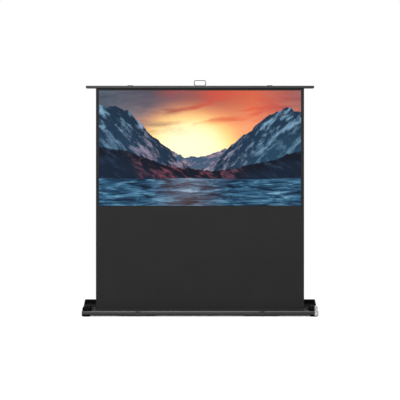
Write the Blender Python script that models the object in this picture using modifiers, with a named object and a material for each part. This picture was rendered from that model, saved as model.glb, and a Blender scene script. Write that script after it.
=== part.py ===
"""Pull up projection screen with an 80 inch picture in the 16:9 shape.

A black case lies on the floor with its lid open behind it. Two scissor stages lift a top bar,
which draws the fabric off a spring roller in the case. Metres, +Z up. The viewer looks along +Y,
and the origin lies on the floor, in the middle of the width, just in front of the fabric.
"""

import math
from collections import namedtuple

import bmesh
import bpy
from mathutils import Matrix, Vector

# Counts of sides and points
SIDES = 16
ROLLER_SIDES = 24
WIRE_RESOLUTION = 2
ARC_STEP = math.radians(15)
COIL_POINTS = 10
COIL_TURNS = 12

# Clearances shared by the whole screen
GAP = 0.0003
OVERRUN = 0.004
SWING_ROOM = 0.001

# Fabric
PICTURE_WIDTH = 1.771
PICTURE_HEIGHT = 0.996
PICTURE_BOTTOM = 0.972
SIDE_BORDER = 0.027
TOP_BORDER = 0.029
SHEET_THICKNESS = 0.0005
FABRIC_HALF = PICTURE_WIDTH / 2 + SIDE_BORDER

# Case extrusion
CASE_SIDE_ROOM = 0.0447
CASE_HALF_DEPTH = 0.0575
CASE_UNDERSIDE = 0.0085
CASE_WALL = 0.002
CASE_CORNER = 0.006
REAR_WALL_TOP = 0.0695
GROOVE_DEPTH = 0.005
GROOVE_Z = 0.0165
LIP_TOP = 0.051
LIP_RADIUS = 0.011
LIP_REACH = 0.0115
BEAD_RADIUS = 0.003
HINGE_SET_BACK = 0.0005
CUP_START = math.radians(185)
CUP_END = math.radians(322)
NECK_TOP = math.radians(135)
NECK_UNDER = math.radians(-196)
CASE_HALF = FABRIC_HALF + CASE_SIDE_ROOM
FLOOR_Z = CASE_UNDERSIDE + CASE_WALL + GAP

# Spring roller
ROLLER_Y = -0.018
ROLLER_Z = 0.042
ROLLER_RADIUS = 0.0225
ROLLER_WALL = 0.0012
ROLLER_OVERHANG = 0.0155
WOUND_THICKNESS = 0.0017
PLUG_FLANGE_RADIUS = 0.0265
PLUG_FLANGE = 0.0035
PLUG_DEPTH = 0.026
ROD_RADIUS = 0.005
ROD_LENGTH = 0.62
SPOOL_LENGTH = 0.030
ANCHOR_FLANGE = 0.008
ANCHOR_RADIUS = 0.0175
SPRING_RADIUS = 0.015
SPRING_WIRE = 0.0015
BRACKET_THICKNESS = 0.003
BRACKET_HALF = 0.022
BRACKET_FOOT = 0.018
BRACKET_CORNER = 0.017
BRACKET_ROOM = 0.0025
IDLER_LENGTH = 0.034
ROLLER_HALF = FABRIC_HALF + ROLLER_OVERHANG
WOUND_RADIUS = ROLLER_RADIUS + GAP + WOUND_THICKNESS
BACKING_Y = ROLLER_Y + WOUND_RADIUS + GAP
BACKING_REAR = BACKING_Y + SHEET_THICKNESS
VIEWING_REAR = BACKING_Y - GAP

# Top bar
BAR_OVERHANG = 0.0865
BAR_FRONT = -0.006
BAR_DEPTH = 0.025
BAR_HEIGHT = 0.020
BAR_WALL = 0.0015
BAR_CORNER = 0.004
WING_THICKNESS = 0.002
SLOT_WIDTH = 0.0036
HEM_RADIUS = 0.003
PLUG_CAP = 0.002
PLUG_SPIGOT = 0.015
SADDLE_LENGTH = 0.048
SADDLE_HEIGHT = 0.0035
SADDLE_CORNER = 0.003
BAR_REAR = BAR_FRONT + BAR_DEPTH
BAR_BOTTOM = PICTURE_BOTTOM + PICTURE_HEIGHT + TOP_BORDER
BAR_TOP = BAR_BOTTOM + BAR_HEIGHT
BAR_HALF = FABRIC_HALF + BAR_OVERHANG

# Scissor arms
PIVOT_INSET = 0.3025
REACH_INSET = 0.0106
ARM_HALF_WIDTH = 0.009
ARM_THICKNESS = 0.005
ARM_SPACING = 0.002
FOLDED_STAGE = 0.021
RIVET_RADIUS = 0.0035
RIVET_HEAD_RADIUS = 0.007
RIVET_HEAD = 0.0017
COLLAR_RADIUS = 0.0075
EAR_HALF_WIDTH = 0.022
FOOT_THICKNESS = 0.0022
EAR_FOOT_DEPTH = 0.018
FRONT_LAYER = BAR_REAR + SWING_ROOM
FRONT_BACK = FRONT_LAYER + ARM_THICKNESS
REAR_LAYER = FRONT_BACK + ARM_SPACING
REAR_BACK = REAR_LAYER + ARM_THICKNESS

# Rails and wheels
WHEEL_RADIUS = 0.009
WHEEL_WIDTH = 0.004
WHEEL_CROWN = 0.001
AXLE_RADIUS = 0.0025
AXLE_HEAD_RADIUS = 0.006
SHOULDER_RADIUS = 0.0042
AXLE_TAIL = 0.0012
RAIL_ROOM = 0.0025
RAIL_DEPTH = 0.010
RAIL_WALL = 0.002
RAIL_LIP = 0.0025
RAIL_LIP_WALL = 0.0015
RAIL_STOP = 0.016
RAIL_FRONT = REAR_BACK + RAIL_ROOM
RAIL_BACK = RAIL_FRONT + RAIL_DEPTH
RAIL_HALF = WHEEL_RADIUS + GAP + RAIL_WALL
WHEEL_FRONT = RAIL_FRONT + RAIL_LIP_WALL + 2 * GAP
WHEEL_BACK = WHEEL_FRONT + WHEEL_WIDTH
BASE_PIVOT_Z = FLOOR_Z + RAIL_HALF
TOP_PIVOT_Z = BAR_BOTTOM - GAP - RAIL_HALF
STAGE = (TOP_PIVOT_Z - BASE_PIVOT_Z) / 2
PIVOT_X = PIVOT_INSET - FABRIC_HALF
FOLDED_REACH = FABRIC_HALF - REACH_INSET
ARM_LENGTH = math.hypot(FOLDED_REACH - PIVOT_X, FOLDED_STAGE)
ARM_ANGLE = math.asin(STAGE / ARM_LENGTH)
SCISSOR_SPAN = ARM_LENGTH * math.cos(ARM_ANGLE)
CENTRE_X = PIVOT_X + SCISSOR_SPAN / 2
WHEEL_X = PIVOT_X + SCISSOR_SPAN
RAIL_START = WHEEL_X - WHEEL_RADIUS - RAIL_STOP
RAIL_END = FOLDED_REACH + WHEEL_RADIUS + SWING_ROOM
FOLDED_BAR_BOTTOM = BAR_BOTTOM - 2 * (STAGE - FOLDED_STAGE)

# End caps
CAP_LENGTH = 0.0715
CAP_BOTTOM = 0.003
CAP_TOP = 0.095
CAP_WALL = 0.004
CAP_INSET = 0.003
CAP_STEP = 0.0055
CAP_SHOULDER = 0.0505
CAP_FOOT_RADIUS = 0.008
CAP_CROWN_RADIUS = 0.026
TOWER_RADIUS = 0.022
SEAT_THICKNESS = 0.003
NOTCH_ROOM = 0.0025
SCREW_RECESS_RADIUS = 0.0046
SCREW_RECESS = 0.003
SCREW_HOLE_RADIUS = 0.0022
CAP_SCREW_SHARES = ((-0.62, 0.20), (0.62, 0.20), (0.0, 0.40))
PAD_LENGTH = 0.046
PAD_WIDTH = 0.100
PAD_CORNER = 0.008
CAP_INNER = CASE_HALF + GAP
CAP_OUTER = CAP_INNER + CAP_LENGTH
TOWER_OUTER = CAP_OUTER - CAP_STEP
CAVITY_OUTER = TOWER_OUTER - CAP_WALL
CAP_FRONT = CASE_HALF_DEPTH - CAP_INSET
CAVITY_HALF_DEPTH = CAP_FRONT - CAP_WALL
SEAT_Z = FOLDED_BAR_BOTTOM - GAP

# Lid, drawn closed and then swung open
LID_TOP = 0.118
LID_WALL = 0.0018
LID_EDGE = 0.0475
LID_FRONT_RADIUS = 0.036
LID_REAR_RADIUS = 0.030
LID_REAR_ROOM = 0.002
LID_OPEN = math.radians(162.3)
LID_RIB_HEIGHT = 0.0016
LID_RIB_WIDTH = 0.0022
LID_RIB_SHARES = (0.064, 0.20, 0.40, 0.58, 0.76)
LID_END_THICKNESS = 0.004
LID_END_ROOM = 0.001
KEEPER_WIDTH = 0.034
KEEPER_HEIGHT = 0.010
KEEPER_THICKNESS = 0.0015
KEEPER_RISE = 0.006
HINGE_Y = CASE_HALF_DEPTH + GAP + BEAD_RADIUS + HINGE_SET_BACK
HINGE_Z = REAR_WALL_TOP + LID_REAR_ROOM / 2
LID_HALF = CAP_OUTER - LID_END_THICKNESS - GAP

# Toggle catches and the steel lid clip
CATCH_INSET = 0.3725
CATCH_WIDTH = 0.044
CATCH_BOTTOM = 0.013
CATCH_HEIGHT = 0.034
CATCH_FLANGE = 0.0062
CATCH_PLATE = 0.0012
EYE_RADIUS = 0.0024
TRUNNION_RADIUS = 0.0012
LEVER_LENGTH = 0.033
LEVER_THICKNESS = 0.0014
LEVER_HOOK = 0.0032
CLIP_INSET = 0.0185
CLIP_WIDTH = 0.026
CLIP_LENGTH = 0.080
CLIP_THICKNESS = 0.0014
CLIP_HOOK = 0.006
CLIP_PIN_Z = 0.0145
CLIP_BRACKET_BOTTOM = 0.0085
CLIP_BRACKET_HEIGHT = 0.0125
CLIP_BRACKET_PLATE = 0.001
CATCH_X = FABRIC_HALF - CATCH_INSET
CLIP_X = CAP_OUTER - CLIP_INSET

# Carrying handle
BAIL_HALF_WIDTH = 0.051
BAIL_RISE = 0.040
BAIL_WIRE = 0.003
BAIL_CORNER = 0.014
BAIL_BEND = 0.004
HANDLE_PLATE = 0.0022
HANDLE_HALF = 0.047
HANDLE_HALF_DEPTH = 0.0075
LUG_THICKNESS = 0.0025
LUG_HEIGHT = 0.013
LUG_CORNER = 0.005
PIN_REACH = 0.004
HANDLE_AXIS_Z = BAR_TOP + GAP + HANDLE_PLATE + LUG_HEIGHT / 2

# Swivel feet
FOOT_INSET = 0.3725
FOOT_HALF_LENGTH = 0.150
FOOT_HALF_WIDTH = 0.018
FOOT_BOTTOM = 0.0025
FOOT_WAIST = 0.014
FOOT_WAIST_SHARE = 0.45
FOOT_PAD_HOLLOW = 0.030
BOLT_RADIUS = 0.004
BOLT_HEAD_RADIUS = 0.008
BOLT_HEAD = 0.0016
FOOT_X = FABRIC_HALF - FOOT_INSET
FOOT_TOP = CASE_UNDERSIDE - GAP

# Finishes: colour, roughness, metallic
FINISHES = {
    "black powder coat": ((0.020, 0.020, 0.022), 0.42, 0.0),
    "black anodised aluminium": ((0.030, 0.030, 0.033), 0.38, 0.6),
    "moulded black plastic": ((0.014, 0.014, 0.015), 0.48, 0.0),
    "black rubber": ((0.010, 0.010, 0.010), 0.85, 0.0),
    "black fabric": ((0.027, 0.027, 0.029), 0.92, 0.0),
    "white viewing surface": ((0.78, 0.78, 0.77), 0.95, 0.0),
    "zinc plated steel": ((0.56, 0.56, 0.57), 0.34, 1.0),
    "bright steel": ((0.68, 0.68, 0.69), 0.22, 1.0),
    "dark grey steel": ((0.11, 0.11, 0.115), 0.40, 0.7),
    "spring steel": ((0.30, 0.30, 0.31), 0.35, 1.0),
    "mill aluminium": ((0.62, 0.63, 0.64), 0.36, 1.0),
    "white nylon": ((0.72, 0.71, 0.67), 0.55, 0.0),
}

# Ways to stand a flat outline up: it is turned, and then extruded along the named axis
View = namedtuple("View", "turn along")
SIDE = View(Matrix(((0, 0, 1, 0), (1, 0, 0, 0), (0, 1, 0, 0), (0, 0, 0, 1))), Vector((1, 0, 0)))
FRONT = View(Matrix(((1, 0, 0, 0), (0, 0, -1, 0), (0, 1, 0, 0), (0, 0, 0, 1))), Vector((0, 1, 0)))
PLAN = View(Matrix.Identity(4), Vector((0, 0, 1)))
AXIS_X = Matrix.Rotation(math.pi / 2, 4, "Y")
AXIS_Y = Matrix.Rotation(-math.pi / 2, 4, "X")
AXIS_Z = Matrix.Identity(4)


# Outlines

def arc(centre, radius, start, end):
    """Points on an arc from start to end, in radians, with both ends."""
    steps = max(2, math.ceil(abs(end - start) / ARC_STEP - 0.001))
    angles = [start + (end - start) * i / steps for i in range(steps + 1)]
    return [(centre[0] + radius * math.cos(a), centre[1] + radius * math.sin(a)) for a in angles]


def circle(centre, radius, sides=SIDES):
    """Points round a circle."""
    angles = [2 * math.pi * i / sides for i in range(sides)]
    return [(centre[0] + radius * math.cos(a), centre[1] + radius * math.sin(a)) for a in angles]


def rectangle(u_low, u_high, v_low, v_high, corner=0.0):
    """A rectangle whose four corners may be rounded."""
    places = ((u_low, v_low), (u_high, v_low), (u_high, v_high), (u_low, v_high))
    return rounded([(u, v, corner) for u, v in places])


def rounded(corners, closed=True):
    """A path through corners (u, v, radius), each rounded by its radius."""
    points = []
    for i, (u, v, radius) in enumerate(corners):
        at_end = not closed and i in (0, len(corners) - 1)
        if not radius or at_end:
            points.append((u, v))
            continue
        here = Vector((u, v))
        back = Vector(corners[i - 1][:2]) - here
        ahead = Vector(corners[(i + 1) % len(corners)][:2]) - here
        half = back.angle(ahead) / 2
        run = min(radius / math.tan(half), back.length, ahead.length)
        radius = run * math.tan(half)
        start = here + back.normalized() * run
        end = here + ahead.normalized() * run
        centre = here + (back.normalized() + ahead.normalized()).normalized() * radius / math.sin(half)
        first = math.atan2(start.y - centre.y, start.x - centre.x)
        turn = (math.atan2(end.y - centre.y, end.x - centre.x) - first + math.pi) % (2 * math.pi)
        points += arc(centre, radius, first, first + turn - math.pi)
    return points


def offset_path(path, distance):
    """The open path moved to its left by a distance, or to its right by a negative one."""
    points = [Vector(p) for p in path]
    headings = [(b - a).normalized() for a, b in zip(points, points[1:])]
    moved = []
    for i, point in enumerate(points):
        heading = headings[max(i - 1, 0)] + headings[min(i, len(headings) - 1)]
        left = Vector((-heading.y, heading.x))
        moved.append(tuple(point + left * (2 * distance / left.length_squared)))
    return moved


def stadium(start, end, radius):
    """The outline of a flat bar with round ends between two places on one level line."""
    quarter = math.pi / 2
    return arc(end, radius, -quarter, quarter) + arc(start, radius, quarter, 3 * quarter)


def leaf_loop(centre, radius, thickness, length, hook):
    """The outline of an upright leaf with a round eye at its foot.

    The leaf runs up the low u side of the eye, and its top is bent back by hook.
    """
    inner = math.acos((thickness - radius) / radius)
    outline = arc((0, 0), radius, math.pi, 2 * math.pi + inner)
    outline += [(thickness - radius, length - thickness), (hook - radius, length - thickness)]
    outline += [(hook - radius, length), (-radius, length)]
    return [(centre[0] + u, centre[1] + v) for u, v in outline]


# Objects

def new_collection(name):
    """A collection in the scene."""
    collection = bpy.data.collections.new(name)
    bpy.context.scene.collection.children.link(collection)
    return collection


def linked(name, data, matrix, collection=None):
    """A new object in the screen's collection, placed by its matrix."""
    piece = bpy.data.objects.new(name, data)
    (collection or SCREEN).objects.link(piece)
    piece.matrix_basis = matrix
    return piece


def evaluated_mesh(piece):
    """A mesh of the piece as its modifiers leave it, with loose caps welded on."""
    depsgraph = bpy.context.evaluated_depsgraph_get()
    mesh = bpy.data.meshes.new_from_object(piece.evaluated_get(depsgraph))
    bm = bmesh.new()
    bm.from_mesh(mesh)
    bmesh.ops.remove_doubles(bm, verts=bm.verts, dist=GAP / 100)
    bmesh.ops.recalc_face_normals(bm, faces=bm.faces)
    bm.to_mesh(mesh)
    bm.free()
    return mesh


def extruded(name, loops, low, high, view):
    """A flat outline with its holes, extruded from low to high along the view's axis."""
    curve = bpy.data.curves.new(name, "CURVE")
    curve.dimensions = "2D"
    curve.fill_mode = "BOTH"
    curve.extrude = (high - low) / 2
    for loop in loops:
        spline = curve.splines.new("POLY")
        spline.points.add(len(loop) - 1)
        for point, place in zip(spline.points, loop):
            point.co = (place[0], place[1], 0, 1)
        spline.use_cyclic_u = True
    matrix = Matrix.Translation(view.along * ((low + high) / 2)) @ view.turn
    drawn = linked(name, curve, matrix)
    mesh = evaluated_mesh(drawn)
    bpy.data.objects.remove(drawn)
    mesh.shade_smooth()
    mesh.set_sharp_from_angle(angle=2.2 * ARC_STEP)
    return linked(name, mesh, matrix)


def turned(name, profile, place, axis, sides=SIDES):
    """A profile of (radius, height), from the top down its outer side, turned round an axis.

    A profile that starts and ends off the axis is closed into a ring.
    """
    bm = bmesh.new()
    verts = [bm.verts.new((radius, 0, height)) for radius, height in profile]
    ring = profile[0][0] > 0
    for a, b in zip(verts, verts[1:] + verts[:1] if ring else verts[1:]):
        bm.edges.new((a, b))
    mesh = bpy.data.meshes.new(name)
    bm.to_mesh(mesh)
    bm.free()
    piece = linked(name, mesh, Matrix.Translation(place) @ axis)
    screw = piece.modifiers.new("turn", "SCREW")
    screw.angle = 2 * math.pi
    screw.steps = sides
    screw.render_steps = sides
    screw.use_merge_vertices = True
    screw.merge_threshold = GAP / 100
    screw.use_smooth_shade = False
    return piece


def cylinder(name, radius, low, high, place, axis, sides=SIDES):
    """A plain cylinder from low to high along its axis."""
    bm = bmesh.new()
    bmesh.ops.create_cone(
        bm, cap_ends=True, segments=sides, radius1=radius, radius2=radius, depth=high - low
    )
    bmesh.ops.translate(bm, verts=bm.verts, vec=(0, 0, (low + high) / 2))
    mesh = bpy.data.meshes.new(name)
    bm.to_mesh(mesh)
    bm.free()
    return linked(name, mesh, Matrix.Translation(place) @ axis)


def wire(name, points, radius, resolution=WIRE_RESOLUTION):
    """A round wire through the points, with filled ends."""
    curve = bpy.data.curves.new(name, "CURVE")
    curve.dimensions = "3D"
    curve.bevel_depth = radius
    curve.bevel_resolution = resolution
    curve.use_fill_caps = True
    spline = curve.splines.new("POLY")
    spline.points.add(len(points) - 1)
    for point, place in zip(spline.points, points):
        point.co = (*place, 1)
    return linked(name, curve, Matrix.Identity(4))


def combined(name, pieces):
    """Separate solids in one object, made from pieces that are then removed."""
    bm = bmesh.new()
    for piece in pieces:
        mesh = evaluated_mesh(piece)
        mesh.transform(piece.matrix_basis)
        bm.from_mesh(mesh)
        bpy.data.meshes.remove(mesh)
        bpy.data.objects.remove(piece)
    mesh = bpy.data.meshes.new(name)
    bm.to_mesh(mesh)
    bm.free()
    mesh.shade_smooth()
    mesh.set_sharp_from_angle(angle=2.2 * ARC_STEP)
    return linked(name, mesh, Matrix.Identity(4))


def worked(piece, tool, operation="DIFFERENCE"):
    """Cuts the piece with the tool, joins the tool to it, or keeps what they share."""
    SCREEN.objects.unlink(tool)
    TOOLS.objects.link(tool)
    tool.hide_render = True
    tool.display_type = "WIRE"
    tool.parent = piece
    tool.matrix_parent_inverse = piece.matrix_basis.inverted()
    boolean = piece.modifiers.new(tool.name, "BOOLEAN")
    boolean.operation = operation
    boolean.solver = "EXACT"
    boolean.object = tool


def joint(name, place, parent):
    """An empty on a joint's axis, under the empty of the body that carries it."""
    empty = linked(name, None, Matrix.Translation(place))
    empty.empty_display_size = RIVET_HEAD_RADIUS
    if parent:
        empty.parent = parent
        empty.matrix_parent_inverse = Matrix.Translation(-ORIGINS[parent.name])
    ORIGINS[name] = Vector(place)
    return empty


def attach(piece, body, finish, pose=AXIS_Z):
    """Poses a finished piece, gives it a material of its own and hangs it on its body."""
    colour, roughness, metallic = FINISHES[finish]
    material = bpy.data.materials.new(f"{piece.name} in {finish}")
    material.use_nodes = True
    shader = material.node_tree.nodes["Principled BSDF"]
    shader.inputs["Base Color"].default_value = (*colour, 1)
    shader.inputs["Roughness"].default_value = roughness
    shader.inputs["Metallic"].default_value = metallic
    piece.data.materials.clear()
    piece.data.materials.append(material)
    piece.matrix_basis = pose @ piece.matrix_basis
    piece.parent = body
    piece.matrix_parent_inverse = Matrix.Translation(-ORIGINS[body.name])


def hole_for(radius, sides=SIDES):
    """The radius of a faceted hole that a faceted pin of this radius turns in."""
    return (radius + GAP) / math.cos(math.pi / sides)


# Case, its end caps and pads

def hinge_cup():
    """The cup on top of the rear wall that the lid's bead turns in: outer arc and inner arc."""
    inner = BEAD_RADIUS + GAP
    outer = inner + CASE_WALL
    wall_side = 2 * math.pi - math.acos((CASE_HALF_DEPTH - HINGE_Y) / outer)
    centre = (HINGE_Y, HINGE_Z)
    return arc(centre, outer, CUP_END, wall_side), arc(centre, inner, CUP_START, CUP_END)


def end_block(name, side, x_low, x_high, y_low, y_high, z_low, z_high, corner=0.0):
    """A block at one end of the case, given by its distances from the middle of the screen."""
    low, high = sorted((side * x_low, side * x_high))
    return extruded(name, [rectangle(y_low, y_high, z_low, z_high, corner)], low, high, SIDE)


def build_case(root):
    """The open trough with its hinge cup, whose nose runs on past the end caps at the front."""
    groove = GROOVE_DEPTH - CASE_HALF_DEPTH
    path = rounded([
        (CASE_HALF_DEPTH, REAR_WALL_TOP, 0),
        (CASE_HALF_DEPTH, CASE_UNDERSIDE, CASE_CORNER),
        (groove, CASE_UNDERSIDE, CASE_CORNER),
        (groove, GROOVE_Z, 0),
        (-CASE_HALF_DEPTH, GROOVE_Z + GROOVE_DEPTH, 0),
        (-CASE_HALF_DEPTH, LIP_TOP, LIP_RADIUS),
        (LIP_REACH - CASE_HALF_DEPTH, LIP_TOP, 0),
    ], closed=False)
    inside = offset_path(path, -CASE_WALL)
    under_cup, in_cup = hinge_cup()
    cup_lip = (inside[0][0], in_cup[0][1])
    section = under_cup + path[1:] + inside[:0:-1] + [cup_lip] + in_cup
    case = extruded("base_case", [section], -CAP_OUTER, CAP_OUTER, SIDE)
    for side in (-1, 1):
        worked(case, end_block(
            "case_trim", side, CASE_HALF, CAP_OUTER + OVERRUN, -CAP_FRONT - GAP,
            HINGE_Y + BEAD_RADIUS + CASE_WALL + OVERRUN, -OVERRUN, HINGE_Z + OVERRUN,
        ))
    holes = [
        cylinder("hole", hole_for(BOLT_RADIUS), -OVERRUN, FLOOR_Z + OVERRUN, (x, 0, 0), AXIS_Z)
        for x in (-FOOT_X, FOOT_X)
    ]
    worked(case, combined("bolt_holes", holes))
    attach(case, root, "black powder coat")


def build_end_cap(name, side, root):
    """A moulded housing: hollow, open to the case, and notched for the lowered bar."""
    section = [
        (CASE_HALF_DEPTH, REAR_WALL_TOP, 0),
        (CASE_HALF_DEPTH, CAP_BOTTOM, CASE_CORNER),
        (-CAP_FRONT, CAP_BOTTOM, CASE_CORNER),
        (-CAP_FRONT, CAP_TOP, TOWER_RADIUS),
        (CAP_FRONT, CAP_TOP, TOWER_RADIUS),
        (CAP_FRONT, REAR_WALL_TOP, 0),
    ]
    low, high = sorted((side * CAP_INNER, side * CAP_OUTER))
    cap = extruded(name, [rounded(section)], low, high, SIDE)
    face = [
        (CAP_INNER - OVERRUN, CAP_BOTTOM - OVERRUN, 0),
        (CAP_OUTER - CAP_FOOT_RADIUS, CAP_BOTTOM - OVERRUN, 0),
        (CAP_OUTER - CAP_FOOT_RADIUS, CAP_BOTTOM, 0),
        (CAP_OUTER, CAP_BOTTOM, CAP_FOOT_RADIUS),
        (CAP_OUTER, CAP_SHOULDER, CAP_INSET / 2),
        (TOWER_OUTER, CAP_SHOULDER, 0),
        (TOWER_OUTER, CAP_TOP, CAP_CROWN_RADIUS),
        (TOWER_OUTER - CAP_CROWN_RADIUS, CAP_TOP, 0),
        (TOWER_OUTER - CAP_CROWN_RADIUS, CAP_TOP + OVERRUN, 0),
        (CAP_INNER - OVERRUN, CAP_TOP + OVERRUN, 0),
    ]
    outline = [(side * x, z) for x, z in rounded(face)]
    reach = CASE_HALF_DEPTH + OVERRUN
    worked(cap, extruded(f"{name}_face", [outline], -reach, reach, FRONT), "INTERSECT")
    open_side = CAP_INNER - OVERRUN
    notch_front = BAR_FRONT - NOTCH_ROOM
    notch_rear = RAIL_BACK + NOTCH_ROOM
    cavity = end_block(
        f"{name}_cavity", side, open_side, CAVITY_OUTER, -CAVITY_HALF_DEPTH, CAVITY_HALF_DEPTH,
        CAP_BOTTOM + CAP_WALL, SEAT_Z - SEAT_THICKNESS, CAP_WALL,
    )
    notch = end_block(
        f"{name}_notch", side, open_side, BAR_HALF + SWING_ROOM, notch_front, notch_rear,
        SEAT_Z, CAP_TOP + OVERRUN,
    )
    worked(cap, cavity)
    worked(cap, notch)
    height = CAP_SHOULDER - CAP_BOTTOM
    places = [
        (side * CAP_OUTER, y * CASE_HALF_DEPTH, CAP_BOTTOM + 2 * z * height)
        for y, z in CAP_SCREW_SHARES
    ]
    depth = CAP_OUTER - CAVITY_OUTER + OVERRUN
    for radius, bottom, what in (
        (SCREW_RECESS_RADIUS, -SCREW_RECESS, "recesses"), (SCREW_HOLE_RADIUS, -depth, "holes"),
    ):
        outward = AXIS_X if side > 0 else AXIS_X @ Matrix.Rotation(math.pi, 4, "X")
        drills = [cylinder("hole", radius, bottom, OVERRUN, place, outward) for place in places]
        worked(cap, combined(f"{name}_{what}", drills))
    attach(cap, root, "moulded black plastic")


def build_base_pads(root):
    """The rubber pads under the end caps."""
    middle = (CAP_INNER + CAP_OUTER) / 2
    for name, x in (("base_pad_left", -middle), ("base_pad_right", middle)):
        outline = rectangle(x - PAD_LENGTH / 2, x + PAD_LENGTH / 2, -PAD_WIDTH / 2, PAD_WIDTH / 2,
                            PAD_CORNER)
        attach(extruded(name, [outline], 0, CAP_BOTTOM - GAP, PLAN), root, "black rubber")


# Spring roller

def roller_place(x):
    """A point on the roller's axis."""
    return (x, ROLLER_Y, ROLLER_Z)


def build_roller_bracket(name, side, root):
    """An upright steel plate with a foot on the case floor and a hole on the roller's axis."""
    inner = ROLLER_HALF + PLUG_FLANGE + 2 * GAP + BRACKET_ROOM
    outer = inner + BRACKET_THICKNESS
    plate = rectangle(ROLLER_Y - BRACKET_HALF, ROLLER_Y + BRACKET_HALF, FLOOR_Z,
                      ROLLER_Z + BRACKET_HALF)
    rounding = [
        (u, v, BRACKET_CORNER if v > ROLLER_Z else 0)
        for u, v in plate
    ]
    hole = circle((ROLLER_Y, ROLLER_Z), hole_for(ROD_RADIUS))
    low, high = sorted((side * inner, side * outer))
    bracket = extruded(name, [rounded(rounding), hole], low, high, SIDE)
    foot_outline = rectangle(ROLLER_Y - BRACKET_HALF, ROLLER_Y + BRACKET_HALF, FLOOR_Z,
                             FLOOR_Z + FOOT_THICKNESS)
    low, high = sorted((side * (inner - BRACKET_FOOT), side * (inner + BRACKET_THICKNESS / 2)))
    worked(bracket, extruded(f"{name}_foot", [foot_outline], low, high, SIDE), "UNION")
    attach(bracket, root, "zinc plated steel")


def plug_profile(spool):
    """An end plug of the tube, from its outer flange inward, with its bore.

    With spool it carries a neck for the end turns of the spring.
    """
    bore = hole_for(ROD_RADIUS)
    body = (ROLLER_RADIUS - ROLLER_WALL) * math.cos(math.pi / ROLLER_SIDES) - GAP
    profile = [
        (bore, PLUG_FLANGE + GAP),
        (PLUG_FLANGE_RADIUS, PLUG_FLANGE + GAP),
        (PLUG_FLANGE_RADIUS, GAP),
        (body, GAP),
        (body, -PLUG_DEPTH),
    ]
    if spool:
        neck = spool_radius()
        profile += [(neck, -PLUG_DEPTH), (neck, -PLUG_DEPTH - SPOOL_LENGTH)]
        return profile + [(bore, -PLUG_DEPTH - SPOOL_LENGTH)]
    return profile + [(bore, -PLUG_DEPTH)]


def spool_radius():
    """The neck that the faceted end turns of the spring pass round without touching."""
    return SPRING_RADIUS * math.cos(math.pi / COIL_POINTS) - SPRING_WIRE - GAP


def spring_points(start, end):
    """The spring's centre line, turn by turn, with its end turns wound close."""
    count = COIL_TURNS * COIL_POINTS
    close = 3 * SPRING_WIRE / (end - start)
    points = []
    for i in range(count + 1):
        turn = i / COIL_POINTS
        if turn <= 1:
            along = close * turn
        elif turn >= COIL_TURNS - 1:
            along = 1 - close * (COIL_TURNS - turn)
        else:
            along = close + (1 - 2 * close) * (turn - 1) / (COIL_TURNS - 2)
        angle = 2 * math.pi * turn
        x, y, z = roller_place(start + along * (end - start))
        points.append((x, y + SPRING_RADIUS * math.cos(angle), z + SPRING_RADIUS * math.sin(angle)))
    return points


def least_gap(points, radius):
    """The least clear distance between turns of a coil, measured on its points."""
    skip = COIL_POINTS // 2
    places = [Vector(p) for p in points]
    return min(
        (a - b).length for i, a in enumerate(places) for b in places[i + skip:]
    ) - 2 * radius


def build_roller(root, roller):
    """The tube on its plugs, the turns left on it, and the fixed rod and spring inside."""
    for name, side in (("roller_bracket_left", -1), ("roller_bracket_right", 1)):
        build_roller_bracket(name, side, root)
    inside = ROLLER_RADIUS - ROLLER_WALL
    tube = [(ROLLER_RADIUS, ROLLER_HALF), (ROLLER_RADIUS, -ROLLER_HALF),
            (inside, -ROLLER_HALF), (inside, ROLLER_HALF)]
    attach(turned("roller_tube", tube, roller_place(0), AXIS_X, ROLLER_SIDES), roller,
           "mill aluminium")
    inner_turn = ROLLER_RADIUS + GAP
    wound = [(WOUND_RADIUS, FABRIC_HALF), (WOUND_RADIUS, -FABRIC_HALF),
             (inner_turn, -FABRIC_HALF), (inner_turn, FABRIC_HALF)]
    attach(turned("wound_fabric", wound, roller_place(0), AXIS_X, ROLLER_SIDES), roller,
           "black fabric")
    facing_left = AXIS_X @ Matrix.Rotation(math.pi, 4, "X")
    left = turned("roller_plug_left", plug_profile(True), roller_place(-ROLLER_HALF), facing_left,
                  ROLLER_SIDES)
    right = turned("roller_plug_right", plug_profile(False), roller_place(ROLLER_HALF), AXIS_X,
                   ROLLER_SIDES)
    attach(left, roller, "moulded black plastic")
    attach(right, roller, "moulded black plastic")
    rod_start = -ROLLER_HALF - PLUG_FLANGE - BRACKET_ROOM - 2 * BRACKET_THICKNESS
    rod_end = rod_start + ROD_LENGTH
    rod = cylinder("spring_rod", ROD_RADIUS, rod_start, rod_end, roller_place(0), AXIS_X)
    attach(rod, root, "zinc plated steel")
    neck = spool_radius()
    anchor_end = rod_end - BRACKET_THICKNESS
    anchor_face = anchor_end - ANCHOR_FLANGE
    bore = hole_for(ROD_RADIUS)
    anchor = [
        (bore, anchor_end), (ANCHOR_RADIUS, anchor_end), (ANCHOR_RADIUS, anchor_face),
        (neck, anchor_face), (neck, anchor_face - SPOOL_LENGTH), (bore, anchor_face - SPOOL_LENGTH),
    ]
    attach(turned("spring_anchor", anchor, roller_place(0), AXIS_X), root, "zinc plated steel")
    start = PLUG_DEPTH + SPRING_WIRE + 2 * GAP - ROLLER_HALF
    points = spring_points(start, anchor_face - SPRING_WIRE - 2 * GAP)
    print(f"torsion spring: least gap {least_gap(points, SPRING_WIRE) / GAP:.1f} clearances")
    attach(wire("torsion_spring", points, SPRING_WIRE, 1), root, "spring steel")
    idler_end = ROLLER_HALF + PLUG_FLANGE + BRACKET_ROOM + 2 * BRACKET_THICKNESS
    idler = cylinder("roller_idler_pin", ROD_RADIUS, idler_end - IDLER_LENGTH, idler_end,
                     roller_place(0), AXIS_X)
    attach(idler, root, "zinc plated steel")


# Scissor arms

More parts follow.
